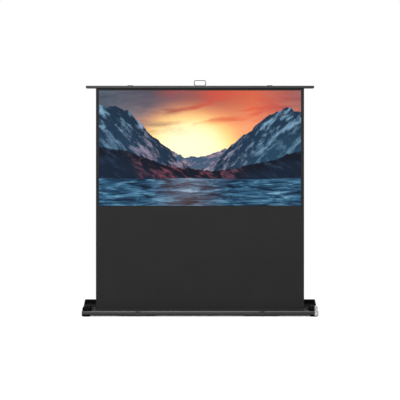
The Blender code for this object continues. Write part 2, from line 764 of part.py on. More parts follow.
def rivet(name, x, z, body):
    """A shoulder rivet along Y through both layers: its collar keeps the arms apart."""
    front_in, rear_in = FRONT_LAYER - GAP, REAR_BACK + GAP
    chamfer = RIVET_HEAD / 2
    profile = [
        (0, rear_in + RIVET_HEAD),
        (RIVET_HEAD_RADIUS - chamfer, rear_in + RIVET_HEAD),
        (RIVET_HEAD_RADIUS, rear_in + RIVET_HEAD - chamfer),
        (RIVET_HEAD_RADIUS, rear_in),
        (RIVET_RADIUS, rear_in),
        (RIVET_RADIUS, REAR_LAYER - GAP),
        (COLLAR_RADIUS, REAR_LAYER - GAP),
        (COLLAR_RADIUS, FRONT_BACK + GAP),
        (RIVET_RADIUS, FRONT_BACK + GAP),
        (RIVET_RADIUS, front_in),
        (RIVET_HEAD_RADIUS, front_in),
        (RIVET_HEAD_RADIUS, front_in - RIVET_HEAD + chamfer),
        (RIVET_HEAD_RADIUS - chamfer, front_in - RIVET_HEAD),
        (0, front_in - RIVET_HEAD),
    ]
    attach(turned(name, profile, (x, 0, z), AXIS_Y), body, "zinc plated steel")


def build_arm(name, holes, layer, body, pose, finish):
    """A flat bar with round ends, drawn level along X and then leant by its pose.

    Each hole is a distance along the bar and the radius of what passes through it.
    """
    ends = sorted(x for x, _ in holes)
    loops = [stadium((ends[0], 0), (ends[-1], 0), ARM_HALF_WIDTH)]
    loops += [circle((x, 0), hole_for(radius)) for x, radius in holes]
    attach(extruded(name, loops, layer, layer + ARM_THICKNESS, FRONT), body, finish, pose)


def lean(place, angle):
    """Leans a level bar about a pivot: a positive angle lifts its +X end."""
    return Matrix.Translation((place[0], 0, place[1])) @ Matrix.Rotation(-angle, 4, "Y")


def axle(name, layer, body, x, z):
    """A stepped pin along Y from an arm to the wheel that runs behind the arms."""
    arm_back = layer + ARM_THICKNESS + GAP
    head_in = layer - GAP
    head = ARM_SPACING - 2 * GAP
    bore_end = WHEEL_BACK + GAP
    profile = [
        (0, bore_end + AXLE_TAIL),
        (SHOULDER_RADIUS, bore_end + AXLE_TAIL),
        (SHOULDER_RADIUS, bore_end),
        (AXLE_RADIUS, bore_end),
        (AXLE_RADIUS, WHEEL_FRONT - GAP),
        (SHOULDER_RADIUS, WHEEL_FRONT - GAP),
        (SHOULDER_RADIUS, arm_back),
        (AXLE_RADIUS, arm_back),
        (AXLE_RADIUS, head_in),
        (AXLE_HEAD_RADIUS, head_in),
        (AXLE_HEAD_RADIUS, head_in - head),
        (0, head_in - head),
    ]
    attach(turned(name, profile, (x, 0, z), AXIS_Y), body, "zinc plated steel")


def wheel(name, body, x, z):
    """A nylon wheel with a crowned rim."""
    bore = hole_for(AXLE_RADIUS)
    low = WHEEL_RADIUS - WHEEL_CROWN
    profile = [
        (bore, WHEEL_BACK),
        (low, WHEEL_BACK),
        (WHEEL_RADIUS, WHEEL_BACK - WHEEL_CROWN),
        (WHEEL_RADIUS, WHEEL_FRONT + WHEEL_CROWN),
        (low, WHEEL_FRONT),
        (bore, WHEEL_FRONT),
    ]
    attach(turned(name, profile, (x, 0, z), AXIS_Y), body, "white nylon")


def build_ear(name, x, pivot_z, layer, foot_z, body):
    """A pivot ear, rounded about its pivot, on a foot against the case floor or the bar's wing."""
    up = 1 if foot_z > pivot_z else -1
    quarter = math.pi / 2
    ear = arc((x, pivot_z), ARM_HALF_WIDTH, up * 2 * quarter, up * 4 * quarter)
    ear += [(x + ARM_HALF_WIDTH, foot_z), (x - ARM_HALF_WIDTH, foot_z)]
    hole = circle((x, pivot_z), hole_for(RIVET_RADIUS))
    bracket = extruded(name, [ear, hole], layer, layer + ARM_THICKNESS, FRONT)
    foot = rectangle(x - EAR_HALF_WIDTH, x + EAR_HALF_WIDTH,
                     *sorted((foot_z, foot_z - up * FOOT_THICKNESS)))
    tool = extruded(f"{name}_foot", [foot], layer, layer + EAR_FOOT_DEPTH, FRONT)
    worked(bracket, tool, "UNION")
    attach(bracket, body, "zinc plated steel")


def rail_loop(z):
    """The C section of a rail, open to the front, about the height that its wheel runs at."""
    lip_back = RAIL_FRONT + RAIL_LIP_WALL
    inside = RAIL_HALF - RAIL_WALL
    half = [
        (RAIL_BACK, RAIL_HALF), (RAIL_FRONT, RAIL_HALF), (RAIL_FRONT, inside - RAIL_LIP),
        (lip_back, inside - RAIL_LIP), (lip_back, inside), (RAIL_BACK - RAIL_WALL, inside),
    ]
    return [(u, z + v) for u, v in half] + [(u, z - v) for u, v in half[::-1]]


def build_rail(name, z, body):
    """A rail for one wheel, from its stop at full height to past the folded reach."""
    attach(extruded(name, [rail_loop(z)], RAIL_START, RAIL_END, SIDE), body, "mill aluminium")


def build_arms(root, bodies):
    """Both scissor stages: four arms, their rivets, the wheels and the fixed ears."""
    left, middle, right = PIVOT_X, CENTRE_X, WHEEL_X
    middle_z = BASE_PIVOT_Z + STAGE
    half = ARM_LENGTH / 2
    rivet_end = RIVET_RADIUS
    lower_front, lower_rear = bodies["lower_front"], bodies["lower_rear"]
    upper_front, upper_rear = bodies["upper_front"], bodies["upper_rear"]
    build_arm(
        "arm_lower_front", [(0, rivet_end), (half, rivet_end), (ARM_LENGTH, rivet_end)],
        FRONT_LAYER, lower_front, lean((left, BASE_PIVOT_Z), ARM_ANGLE), "black powder coat",
    )
    build_arm(
        "arm_lower_rear", [(-half, rivet_end), (0, rivet_end), (half, AXLE_RADIUS)],
        REAR_LAYER, lower_rear, lean((middle, BASE_PIVOT_Z + STAGE / 2), -ARM_ANGLE),
        "black powder coat",
    )
    build_arm(
        "arm_upper_rear", [(0, rivet_end), (-half, rivet_end), (-ARM_LENGTH, rivet_end)],
        REAR_LAYER, upper_rear, lean((right, middle_z), -ARM_ANGLE), "black powder coat",
    )
    build_arm(
        "arm_upper_front", [(-half, rivet_end), (0, rivet_end), (half, AXLE_RADIUS)],
        FRONT_LAYER, upper_front, lean((middle, middle_z + STAGE / 2), ARM_ANGLE),
        "black powder coat",
    )
    rivet("base_pivot_rivet", left, BASE_PIVOT_Z, root)
    rivet("lower_centre_rivet", middle, BASE_PIVOT_Z + STAGE / 2, lower_front)
    rivet("right_elbow_rivet", right, middle_z, lower_front)
    rivet("left_elbow_rivet", left, middle_z, lower_rear)
    rivet("upper_centre_rivet", middle, middle_z + STAGE / 2, upper_rear)
    rivet("top_pivot_rivet", left, TOP_PIVOT_Z, upper_rear)
    axle("base_wheel_axle", REAR_LAYER, lower_rear, right, BASE_PIVOT_Z)
    axle("top_wheel_axle", FRONT_LAYER, upper_front, right, TOP_PIVOT_Z)
    wheel("base_wheel", bodies["base_wheel"], right, BASE_PIVOT_Z)
    wheel("top_wheel", bodies["top_wheel"], right, TOP_PIVOT_Z)
    build_ear("base_pivot_bracket", left, BASE_PIVOT_Z, REAR_LAYER, FLOOR_Z, root)
    build_ear("top_pivot_bracket", left, TOP_PIVOT_Z, FRONT_LAYER, BAR_BOTTOM - GAP,
              bodies["top_bar"])
    build_rail("base_rail", BASE_PIVOT_Z, root)
    build_rail("top_rail", TOP_PIVOT_Z, bodies["top_bar"])


# Top bar and handle

def build_top_bar(top):
    """The hollow bar with its hem slot and rear wing, its end plugs, hem rod and saddles."""
    hem_y = (BACKING_Y + BACKING_REAR) / 2
    slot_front, slot_rear = hem_y - SLOT_WIDTH / 2, hem_y + SLOT_WIDTH / 2
    inner_front, inner_rear = BAR_FRONT + BAR_WALL, BAR_REAR - BAR_WALL
    inner_floor, inner_roof = BAR_BOTTOM + BAR_WALL, BAR_TOP - BAR_WALL
    section = [
        (slot_front, BAR_BOTTOM, 0), (BAR_FRONT, BAR_BOTTOM, BAR_WALL),
        (BAR_FRONT, BAR_TOP, BAR_CORNER), (BAR_REAR, BAR_TOP, BAR_CORNER / 2),
        (BAR_REAR, BAR_BOTTOM + WING_THICKNESS, 0), (RAIL_BACK, BAR_BOTTOM + WING_THICKNESS, 0),
        (RAIL_BACK, BAR_BOTTOM, 0), (slot_rear, BAR_BOTTOM, 0),
        (slot_rear, inner_floor, 0), (inner_rear, inner_floor, 0), (inner_rear, inner_roof, 0),
        (inner_front, inner_roof, BAR_CORNER / 2), (inner_front, inner_floor, 0),
        (slot_front, inner_floor, 0),
    ]
    half = BAR_HALF - PLUG_CAP - GAP
    bar = extruded("top_bar", [rounded(section)], -half, half, SIDE)
    attach(bar, top, "black anodised aluminium")
    for name, side in (("bar_plug_left", -1), ("bar_plug_right", 1)):
        cap = rounded([
            (BAR_FRONT, BAR_BOTTOM, BAR_WALL), (BAR_REAR, BAR_BOTTOM, BAR_WALL),
            (BAR_REAR, BAR_TOP, BAR_CORNER / 2), (BAR_FRONT, BAR_TOP, BAR_CORNER),
        ])
        spigot = rectangle(inner_front + GAP, inner_rear - GAP, inner_floor + GAP,
                           inner_roof - GAP, BAR_CORNER / 2)
        low, high = sorted((side * (BAR_HALF - PLUG_CAP), side * BAR_HALF))
        plug = extruded(name, [cap], low, high, SIDE)
        low, high = sorted((side * (half - PLUG_SPIGOT), side * (BAR_HALF - PLUG_CAP / 2)))
        worked(plug, extruded(f"{name}_spigot", [spigot], low, high, SIDE), "UNION")
        attach(plug, top, "moulded black plastic")
    hem = cylinder("hem_rod", HEM_RADIUS, -FABRIC_HALF, FABRIC_HALF,
                   (0, hem_y, inner_floor + GAP + HEM_RADIUS), AXIS_X)
    attach(hem, top, "zinc plated steel")
    for name, x in (("saddle_left", PIVOT_X), ("saddle_right", -PIVOT_X)):
        outline = rounded([
            (x - SADDLE_LENGTH / 2, BAR_TOP + GAP, 0),
            (x + SADDLE_LENGTH / 2, BAR_TOP + GAP, 0),
            (x + SADDLE_LENGTH / 2, BAR_TOP + GAP + SADDLE_HEIGHT, SADDLE_CORNER),
            (x - SADDLE_LENGTH / 2, BAR_TOP + GAP + SADDLE_HEIGHT, SADDLE_CORNER),
        ])
        saddle = extruded(name, [outline], BAR_FRONT + BAR_WALL, BAR_REAR - BAR_WALL, FRONT)
        attach(saddle, top, "black powder coat")


def bail_points(y):
    """The bail's centre line, from the tip of one pin round to the other."""
    tip = HANDLE_HALF - LUG_THICKNESS - PIN_REACH
    top = HANDLE_AXIS_Z + BAIL_RISE - BAIL_WIRE
    corners = [
        (-tip, HANDLE_AXIS_Z, 0),
        (-BAIL_HALF_WIDTH, HANDLE_AXIS_Z, BAIL_BEND),
        (-BAIL_HALF_WIDTH, top, BAIL_CORNER),
        (BAIL_HALF_WIDTH, top, BAIL_CORNER),
        (BAIL_HALF_WIDTH, HANDLE_AXIS_Z, BAIL_BEND),
        (tip, HANDLE_AXIS_Z, 0),
    ]
    return [(x, y, z) for x, z in rounded(corners, closed=False)]


def build_handle(top, handle):
    """The plate with two lugs on the bar, and the bail that folds down on either side."""
    y = BAR_FRONT + BAR_DEPTH / 2
    floor = BAR_TOP + GAP
    lug_in = HANDLE_HALF - LUG_THICKNESS
    channel = [
        (-HANDLE_HALF, floor), (HANDLE_HALF, floor), (HANDLE_HALF, floor + HANDLE_PLATE + LUG_HEIGHT),
        (lug_in, floor + HANDLE_PLATE + LUG_HEIGHT), (lug_in, floor + HANDLE_PLATE),
        (-lug_in, floor + HANDLE_PLATE), (-lug_in, floor + HANDLE_PLATE + LUG_HEIGHT),
        (-HANDLE_HALF, floor + HANDLE_PLATE + LUG_HEIGHT),
    ]
    plate = extruded("handle_plate", [channel], y - HANDLE_HALF_DEPTH, y + HANDLE_HALF_DEPTH, FRONT)
    side_view = rounded([
        (y - HANDLE_HALF_DEPTH - OVERRUN, floor - OVERRUN, 0),
        (y + HANDLE_HALF_DEPTH + OVERRUN, floor - OVERRUN, 0),
        (y + HANDLE_HALF_DEPTH + OVERRUN, floor + HANDLE_PLATE, 0),
        (y + HANDLE_HALF_DEPTH, floor + HANDLE_PLATE, 0),
        (y + HANDLE_HALF_DEPTH, floor + HANDLE_PLATE + LUG_HEIGHT, LUG_CORNER),
        (y - HANDLE_HALF_DEPTH, floor + HANDLE_PLATE + LUG_HEIGHT, LUG_CORNER),
        (y - HANDLE_HALF_DEPTH, floor + HANDLE_PLATE, 0),
        (y - HANDLE_HALF_DEPTH - OVERRUN, floor + HANDLE_PLATE, 0),
    ])
    reach = HANDLE_HALF + OVERRUN
    worked(plate, extruded("lug_rounding", [side_view], -reach, reach, SIDE), "INTERSECT")
    bore = cylinder("lug_holes", hole_for(BAIL_WIRE), -reach, reach, (0, y, HANDLE_AXIS_Z), AXIS_X)
    worked(plate, bore)
    attach(plate, top, "dark grey steel")
    attach(wire("handle_bail", bail_points(y), BAIL_WIRE), handle, "dark grey steel")


# Fabric

def build_fabric(root):
    """The black backing from the roller up into the bar, and the viewing surface in front of it."""
    backing = rectangle(-FABRIC_HALF, FABRIC_HALF, ROLLER_Z, BAR_BOTTOM + BAR_WALL)
    attach(extruded("backing_sheet", [backing], BACKING_Y, BACKING_REAR, FRONT), root,
           "black fabric")
    viewing = rectangle(-PICTURE_WIDTH / 2, PICTURE_WIDTH / 2, PICTURE_BOTTOM,
                        PICTURE_BOTTOM + PICTURE_HEIGHT)
    front = VIEWING_REAR - SHEET_THICKNESS
    attach(extruded("viewing_surface", [viewing], front, VIEWING_REAR, FRONT), root,
           "white viewing surface")


# Lid and its hinges

def lid_path():
    """The outer side of the closed lid's section, from its front edge over to its rear edge."""
    return rounded([
        (-CASE_HALF_DEPTH, LID_EDGE, 0),
        (-CASE_HALF_DEPTH, LID_TOP, LID_FRONT_RADIUS),
        (CASE_HALF_DEPTH, LID_TOP, LID_REAR_RADIUS),
        (CASE_HALF_DEPTH, HINGE_Z + (HINGE_Y - CASE_HALF_DEPTH) * math.tan(-NECK_TOP), 0),
    ], closed=False)


def hinge_bead():
    """The bead on the lid's rear edge, from its neck's top round to its neck's underside."""
    return arc((HINGE_Y, HINGE_Z), BEAD_RADIUS, NECK_TOP, NECK_UNDER)


def with_ribs(path, shares, height, width):
    """The path with low square ribs to its right, at shares of its length."""
    points = [Vector(p) for p in path]
    steps = [(b - a).length for a, b in zip(points, points[1:])]
    total = sum(steps)
    marks = [(share * total + offset, rise) for share in shares
             for offset, rise in ((-width / 2, False), (width / 2, True))]
    ribbed, run = [path[0]], 0.0
    for a, b, step in zip(points, points[1:], steps):
        heading = (b - a) / step
        right = Vector((heading.y, -heading.x)) * height
        for mark, falling in marks:
            if run <= mark < run + step:
                foot = a + heading * (mark - run)
                pair = [tuple(foot), tuple(foot + right)]
                ribbed += pair[::-1] if falling else pair
        ribbed.append(tuple(b))
        run += step
    return ribbed


def build_lid(lid):
    """The lid's ribbed shell with its hinge bead, its end plates and the catches' keepers."""
    hinge = Vector((0, HINGE_Y, HINGE_Z))
    pose = (Matrix.Translation(hinge) @ Matrix.Rotation(-LID_OPEN, 4, "X")
            @ Matrix.Translation(-hinge))
    outside = lid_path()
    inside = with_ribs(offset_path(outside, -LID_WALL), LID_RIB_SHARES, LID_RIB_HEIGHT,
                       LID_RIB_WIDTH)
    bead = hinge_bead()
    rear_edge = (inside[-1][0], bead[-1][1])
    section = outside + bead + [rear_edge] + inside[-2::-1]
    shell = extruded("lid_shell", [section], -LID_HALF, LID_HALF, SIDE)
    attach(shell, lid, "black powder coat", pose)
    low_front = (-CASE_HALF_DEPTH, CAP_SHOULDER + LID_END_ROOM)
    low_rear = (CASE_HALF_DEPTH, REAR_WALL_TOP + LID_REAR_ROOM)
    end_loop = [low_front] + outside[1:-1] + [low_rear]
    for name, side in (("lid_end_left", -1), ("lid_end_right", 1)):
        low, high = sorted((side * (LID_HALF + GAP), side * CAP_OUTER))
        attach(extruded(name, [end_loop], low, high, SIDE), lid, "moulded black plastic", pose)
    for name, x in (("keeper_left", -CATCH_X), ("keeper_right", CATCH_X)):
        low = LID_EDGE + KEEPER_RISE
        front = -CASE_HALF_DEPTH - GAP - KEEPER_THICKNESS
        outline = rectangle(front, front + KEEPER_THICKNESS, low, low + KEEPER_HEIGHT)
        keeper = extruded(name, [outline], x - KEEPER_WIDTH / 2, x + KEEPER_WIDTH / 2, SIDE)
        attach(keeper, lid, "zinc plated steel", pose)


# Catches and clip

def flanged_plate(name, x, width, z_low, height, thickness, flange, pin_place):
    """A pressed plate on the front, with a flange along each side, bored for a trunnion."""
    half = width / 2
    back = -CASE_HALF_DEPTH - GAP
    channel = [
        (x - half, back), (x - half, back - flange), (x - half + thickness, back - flange),
        (x - half + thickness, back - thickness), (x + half - thickness, back - thickness),
        (x + half - thickness, back - flange), (x + half, back - flange), (x + half, back),
    ]
    plate = extruded(name, [channel], z_low, z_low + height, PLAN)
    bore = cylinder(f"{name}_bore", hole_for(TRUNNION_RADIUS), x - half - OVERRUN,
                    x + half + OVERRUN, pin_place, AXIS_X)
    worked(plate, bore)
    return plate


def hinged_leaf(name, x, width, plate, place, thickness, length, hook):
    """A leaf rolled round a pin whose ends stand out as trunnions into a plate's flanges."""
    inside = width / 2 - plate - GAP
    loop = leaf_loop(place[1:], EYE_RADIUS, thickness, length, hook)
    leaf = extruded(name, [loop], x - inside, x + inside, SIDE)
    trunnions = cylinder(f"{name}_trunnions", TRUNNION_RADIUS, x - width / 2, x + width / 2,
                         place, AXIS_X)
    worked(leaf, trunnions, "UNION")
    return leaf


def latch_place(plate, z):
    """Where the axis of a leaf lies in front of its plate."""
    return (0, -CASE_HALF_DEPTH - 2 * GAP - plate - EYE_RADIUS, z)


def build_catches(root, bodies):
    """Two toggle catches on the front lip, each a plate and a lever."""
    place = latch_place(CATCH_PLATE, CATCH_BOTTOM + EYE_RADIUS + GAP)
    for side, x in (("left", -CATCH_X), ("right", CATCH_X)):
        plate = flanged_plate(f"catch_plate_{side}", x, CATCH_WIDTH, CATCH_BOTTOM, CATCH_HEIGHT,
                              CATCH_PLATE, CATCH_FLANGE, place)
        attach(plate, root, "black powder coat")
        lever = hinged_leaf(f"catch_lever_{side}", x, CATCH_WIDTH, CATCH_PLATE, place,
                            LEVER_THICKNESS, LEVER_LENGTH, LEVER_HOOK)
        attach(lever, bodies[f"catch_{side}"], "black powder coat")


def build_clip(root, clip):
    """The bright steel clip that stands on the right end cap, on its small bracket."""
    place = latch_place(CLIP_BRACKET_PLATE, CLIP_PIN_Z)
    width = CLIP_WIDTH + 2 * (CLIP_BRACKET_PLATE + GAP)
    bracket = flanged_plate("clip_bracket", CLIP_X, width, CLIP_BRACKET_BOTTOM,
                            CLIP_BRACKET_HEIGHT, CLIP_BRACKET_PLATE, CATCH_FLANGE, place)
    attach(bracket, root, "bright steel")
    leaf = hinged_leaf("lid_clip", CLIP_X, width, CLIP_BRACKET_PLATE, place, CLIP_THICKNESS,
                       CLIP_LENGTH, CLIP_HOOK)
    attach(leaf, clip, "bright steel")


# Feet

def build_foot(name, x, body):
    """A flat swivel bar stowed along the case, drawn in at its waist, on a pad at each end."""
    ends = FOOT_HALF_LENGTH - FOOT_HALF_WIDTH
    waist = FOOT_WAIST_SHARE * FOOT_HALF_LENGTH
    quarter = math.pi / 2
    outline = arc((x + ends, 0), FOOT_HALF_WIDTH, -quarter, quarter)
    outline += [(x + waist, FOOT_WAIST), (x - waist, FOOT_WAIST)]
    outline += arc((x - ends, 0), FOOT_HALF_WIDTH, quarter, 3 * quarter)
    outline += [(x - waist, -FOOT_WAIST), (x + waist, -FOOT_WAIST)]
    hole = circle((x, 0), hole_for(BOLT_RADIUS))
    bar = extruded(name, [outline, hole], 0, FOOT_TOP, PLAN)
    hollow = FOOT_HALF_LENGTH - FOOT_PAD_HOLLOW
    under = rectangle(x - hollow, x + hollow, -OVERRUN, FOOT_BOTTOM, 0)
    reach = FOOT_HALF_WIDTH + OVERRUN
    worked(bar, extruded(f"{name}_hollow", [under], -reach, reach, FRONT))
    attach(bar, body, "moulded black plastic")


def build_foot_bolt(name, x, body):
    """The low bolt of a foot, which turns with it in the case floor."""
    bottom = FOOT_BOTTOM - GAP - BOLT_HEAD
    profile = [
        (0, FLOOR_Z + BOLT_HEAD), (BOLT_HEAD_RADIUS - BOLT_HEAD, FLOOR_Z + BOLT_HEAD),
        (BOLT_HEAD_RADIUS, FLOOR_Z), (BOLT_RADIUS, FLOOR_Z), (BOLT_RADIUS, FOOT_BOTTOM - GAP),
        (BOLT_HEAD_RADIUS, FOOT_BOTTOM - GAP), (BOLT_HEAD_RADIUS, bottom), (0, bottom),
    ]
    attach(turned(name, profile, (x, 0, 0), AXIS_Z), body, "zinc plated steel")


def build_bodies():
    """The empties on the joints' axes, each under the body that carries it."""
    left, middle, right = PIVOT_X, CENTRE_X, WHEEL_X
    middle_z = BASE_PIVOT_Z + STAGE
    catch = latch_place(CATCH_PLATE, CATCH_BOTTOM + EYE_RADIUS + GAP)
    clip = latch_place(CLIP_BRACKET_PLATE, CLIP_PIN_Z)
    root = joint("root", (0, 0, 0), None)
    bodies = {"root": root}
    bodies["lower_front"] = joint("lower_front", (left, 0, BASE_PIVOT_Z), root)
    lower_front = bodies["lower_front"]
    lower_centre = (middle, 0, BASE_PIVOT_Z + STAGE / 2)
    upper_centre = (middle, 0, middle_z + STAGE / 2)
    bodies["lower_rear"] = joint("lower_rear", lower_centre, lower_front)
    bodies["upper_rear"] = joint("upper_rear", (right, 0, middle_z), lower_front)
    upper_rear = bodies["upper_rear"]
    bodies["upper_front"] = joint("upper_front", upper_centre, upper_rear)
    bodies["top_bar"] = joint("bar", (left, 0, TOP_PIVOT_Z), upper_rear)
    bodies["base_wheel"] = joint("base_roll", (right, 0, BASE_PIVOT_Z), bodies["lower_rear"])
    bodies["top_wheel"] = joint("top_roll", (right, 0, TOP_PIVOT_Z), bodies["upper_front"])
    bodies["handle"] = joint(
        "handle", (0, BAR_FRONT + BAR_DEPTH / 2, HANDLE_AXIS_Z), bodies["top_bar"]
    )
    bodies["roller"] = joint("roller", roller_place(0), root)
    bodies["lid"] = joint("lid", (0, HINGE_Y, HINGE_Z), root)
    bodies["catch_left"] = joint("catch_left", (-CATCH_X, *catch[1:]), root)
    bodies["catch_right"] = joint("catch_right", (CATCH_X, *catch[1:]), root)
    bodies["clip"] = joint("clip", (CLIP_X, *clip[1:]), root)
    bodies["foot_left"] = joint("swivel_left", (-FOOT_X, 0, FOOT_TOP), root)
    bodies["foot_right"] = joint("swivel_right", (FOOT_X, 0, FOOT_TOP), root)
    return bodies


def main():
    """Clears the scene and builds the screen, body by body."""
    bodies = build_bodies()
    root, top = bodies["root"], bodies["top_bar"]
    build_case(root)
    build_end_cap("end_cap_left", -1, root)
    build_end_cap("end_cap_right", 1, root)
    build_base_pads(root)
    build_roller(root, bodies["roller"])
    build_arms(root, bodies)
    build_top_bar(top)
    build_handle(top, bodies["handle"])
    build_fabric(root)
    build_lid(bodies["lid"])
    build_catches(root, bodies)
    build_clip(root, bodies["clip"])
    for side, x in (("left", -FOOT_X), ("right", FOOT_X)):
        build_foot(f"foot_{side}", x, bodies[f"foot_{side}"])
        build_foot_bolt(f"foot_bolt_{side}", x, bodies[f"foot_{side}"])
    bpy.context.view_layer.update()


for old in list(bpy.data.objects):
    bpy.data.objects.remove(old)
SCREEN = new_collection("pull_up_projection_screen")
TOOLS = new_collection("cutters")
ORIGINS = {}
main()
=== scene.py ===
"""Looks of a pull up projection screen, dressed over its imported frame.

A black case lies on a pale studio floor with its lid swung open behind it. A scissor frame
holds up a top bar, and a coated fabric with a black drop and a picture hangs between them.
Metres, +Z up. The camera looks along +Y at half the screen's height.
"""

import logging
import math
from collections.abc import Callable, Iterable, Mapping, Sequence
from dataclasses import dataclass
from enum import Enum
from functools import partial

import bmesh
import bpy
from mathutils import Matrix, Vector


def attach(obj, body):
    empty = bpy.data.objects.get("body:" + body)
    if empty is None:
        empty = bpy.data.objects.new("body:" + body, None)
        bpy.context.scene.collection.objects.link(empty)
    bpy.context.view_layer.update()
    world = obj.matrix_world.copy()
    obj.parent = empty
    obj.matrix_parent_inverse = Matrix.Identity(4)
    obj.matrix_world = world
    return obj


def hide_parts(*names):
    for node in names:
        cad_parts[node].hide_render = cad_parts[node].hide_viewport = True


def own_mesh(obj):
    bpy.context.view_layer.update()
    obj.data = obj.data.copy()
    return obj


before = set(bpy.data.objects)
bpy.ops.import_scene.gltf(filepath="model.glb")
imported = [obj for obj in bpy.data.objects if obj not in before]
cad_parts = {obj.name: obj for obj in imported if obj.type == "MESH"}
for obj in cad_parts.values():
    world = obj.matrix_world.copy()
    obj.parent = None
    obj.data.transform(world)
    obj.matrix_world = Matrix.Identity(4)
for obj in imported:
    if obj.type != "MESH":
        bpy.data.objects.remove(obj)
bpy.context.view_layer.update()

LOG = logging.getLogger("pull_up_screen")
SHADER = "Principled BSDF"
# Where a mix node has its share and its two colours, and what makes it mix colours.
FAC, A, B = 0, 6, 7
COLOURS = {"output": 2, "data_type": "RGBA"}
# What makes a range node ease in and out.
SMOOTHLY = {"interpolation_type": "SMOOTHSTEP"}
# A wave texture runs this many radians to the unit at a scale of 1.
WAVE_RADIANS = 20
HARD_EDGE = math.radians(32)
FLAT_WITHIN = math.radians(0.5)
WELD_WITHIN = 0.00001
ON_AXIS = 1e-6
ORIGIN = (0.0, 0.0)

Point2 = tuple[float, float]
Point3 = tuple[float, float, float]
Form = bmesh.types.BMesh
Piece = bpy.types.Object
Socket = bpy.types.NodeSocket
Stops = Sequence[tuple[float, str]]
Surface = Callable[[float, float], Vector]


# Colour, scale and nodes

def linear(code: str) -> tuple[float, float, float, float]:
    """Turns an sRGB hex colour into linear light.

    Args:
        code: The colour, as "#rrggbb".

    Returns:
        Red, green, blue and an alpha of 1.
    """
    parts = [int(code[i:i + 2], 16) / 255 for i in (1, 3, 5)]
    light = [c / 12.92 if c <= 0.04045 else ((c + 0.055) / 1.055) ** 2.4 for c in parts]
    return (*light, 1.0)


def grey(light: float) -> str:
    """The hex grey that stands for a linear value on a ramp."""
    share = light * 12.92 if light <= 0.0031308 else 1.055 * light ** (1 / 2.4) - 0.055
    return "#" + f"{round(255 * share):02x}" * 3


def scale_for(size_mm: float) -> float:
    """The scale at which a texture's features are this many millimetres apart."""
    return 1000 / size_mm


def configure(thing: bpy.types.bpy_struct, settings: Mapping) -> None:
    """Sets the fields of a node, a modifier or a lamp by their names."""
    for name, value in settings.items():
        setattr(thing, name, value)


@dataclass
class Graph:
    """A material's node tree while it is laid out."""

    tree: bpy.types.NodeTree

    def fill(self, name: str, sockets: Mapping | Sequence) -> None:
        """Gives a node's inputs their values and links.

        Args:
            name: The node's name.
            sockets: What goes into the inputs, by name or in order: a value or an output.
        """
        inputs = self.tree.nodes[name].inputs
        pairs = sockets.items() if isinstance(sockets, Mapping) else enumerate(sockets)
        for where, value in pairs:
            if isinstance(value, Socket):
                self.tree.links.new(value, inputs[where])
            else:
                inputs[where].default_value = value

    def add(self, kind: str, sockets: Mapping | Sequence = (), output: int | str = 0,
            stops: Stops = (), easing: str = "LINEAR", **settings: object) -> Socket:
        """Adds one node with its settings and links.

        Args:
            kind: The node's type, without the ShaderNode in front.
            sockets: What goes into the inputs.
            output: The output that is wanted, by name or by its place.
            stops: The places and colours of a ramp.
            easing: How a ramp runs from stop to stop.
            settings: The node's own fields.

        Returns:
            The wanted output.
        """
        node = self.tree.nodes.new("ShaderNode" + kind)
        configure(node, settings)
        self.fill(node.name, sockets)
        if stops:
            ramp = node.color_ramp
            ramp.interpolation = easing
            for _ in stops[2:]:
                ramp.elements.new(0.5)
            for element, (place, code) in zip(ramp.elements, stops):
                element.position = place
                element.color = linear(code)
        return node.outputs[output]


# Finishes

@dataclass(frozen=True)
class Grain:
    """A texture: how many millimetres its features measure, and how rough it is."""

    size_mm: float
    detail: float
    roughness: float = 0.5
    stretch: Point3 = (1.0, 1.0, 1.0)
    kind: str = "TexNoise"

    def draw(self, graph: Graph) -> Socket:
        """Adds the texture to a material.

        Args:
            graph: The material's nodes.

        Returns:
            The pattern.
        """
        place = graph.add("Mapping", {"Vector": graph.add("TexCoord", output="Object"),
                                      "Scale": [scale_for(self.size_mm * longer)
                                                for longer in self.stretch]})
        return graph.add(self.kind, {"Vector": place, "Scale": 1.0, "Detail": self.detail,
                                     "Roughness": self.roughness})


@dataclass(frozen=True)
class Finish:
    """What every finish has: its name, its colours and how it takes the light.

    The tone moves the colour and, by the spread, the roughness. The relief bends the light.
    """

    name: str
    colour: str
    darker: str
    lighter: str
    roughness: float
    metallic: float = 0.0
    specular: float = 0.5
    tone: Grain = Grain(100.0, 2.0)
    relief: Grain = Grain(2.0, 2.0)
    spread: float = 0.05
    strength: float = 0.3
    depth_mm: float = 0.3

    def material(self) -> bpy.types.Material:
        """Makes the finish's material, or gives the one made before.

        Returns:
            A material whose shader has this finish's plain values and its pattern.
        """
        made = bpy.data.materials.get(self.name)
        if not made:
            made = bpy.data.materials.new(self.name)
            made.use_nodes = True
            made.diffuse_color = linear(self.colour)
            graph = Graph(made.node_tree)
            graph.fill(SHADER, {"Base Color": linear(self.colour), "Metallic": self.metallic,
                                "Roughness": self.roughness,
                                "Specular IOR Level": self.specular})
            self.pattern(graph)
        return made

    def pattern(self, graph: Graph) -> None:
        """Draws the surface's own pattern."""
        self.cover(graph, self.tone.draw(graph), self.relief.draw(graph))

    def cover(self, graph: Graph, tone: Socket, relief: Socket) -> None:
        """Lets a tone move the colour and the roughness, and a relief bend the light.

        Args:
            graph: The material's nodes.
            tone: The pattern of the tone, from 0 for darker to 1 for lighter.
            relief: The height of the relief.
        """
        colour = graph.add("Mix", {FAC: tone, A: linear(self.darker), B: linear(self.lighter)},
                           **COLOURS)
        rough = graph.add("MapRange", (tone, 0.0, 1.0, self.roughness - self.spread,
                                       self.roughness + self.spread))
        bump = graph.add("Bump", {"Height": relief, "Strength": self.strength,
                                  "Distance": self.depth_mm / 1000})
        graph.fill(SHADER, {"Base Color": colour, "Roughness": rough, "Normal": bump})


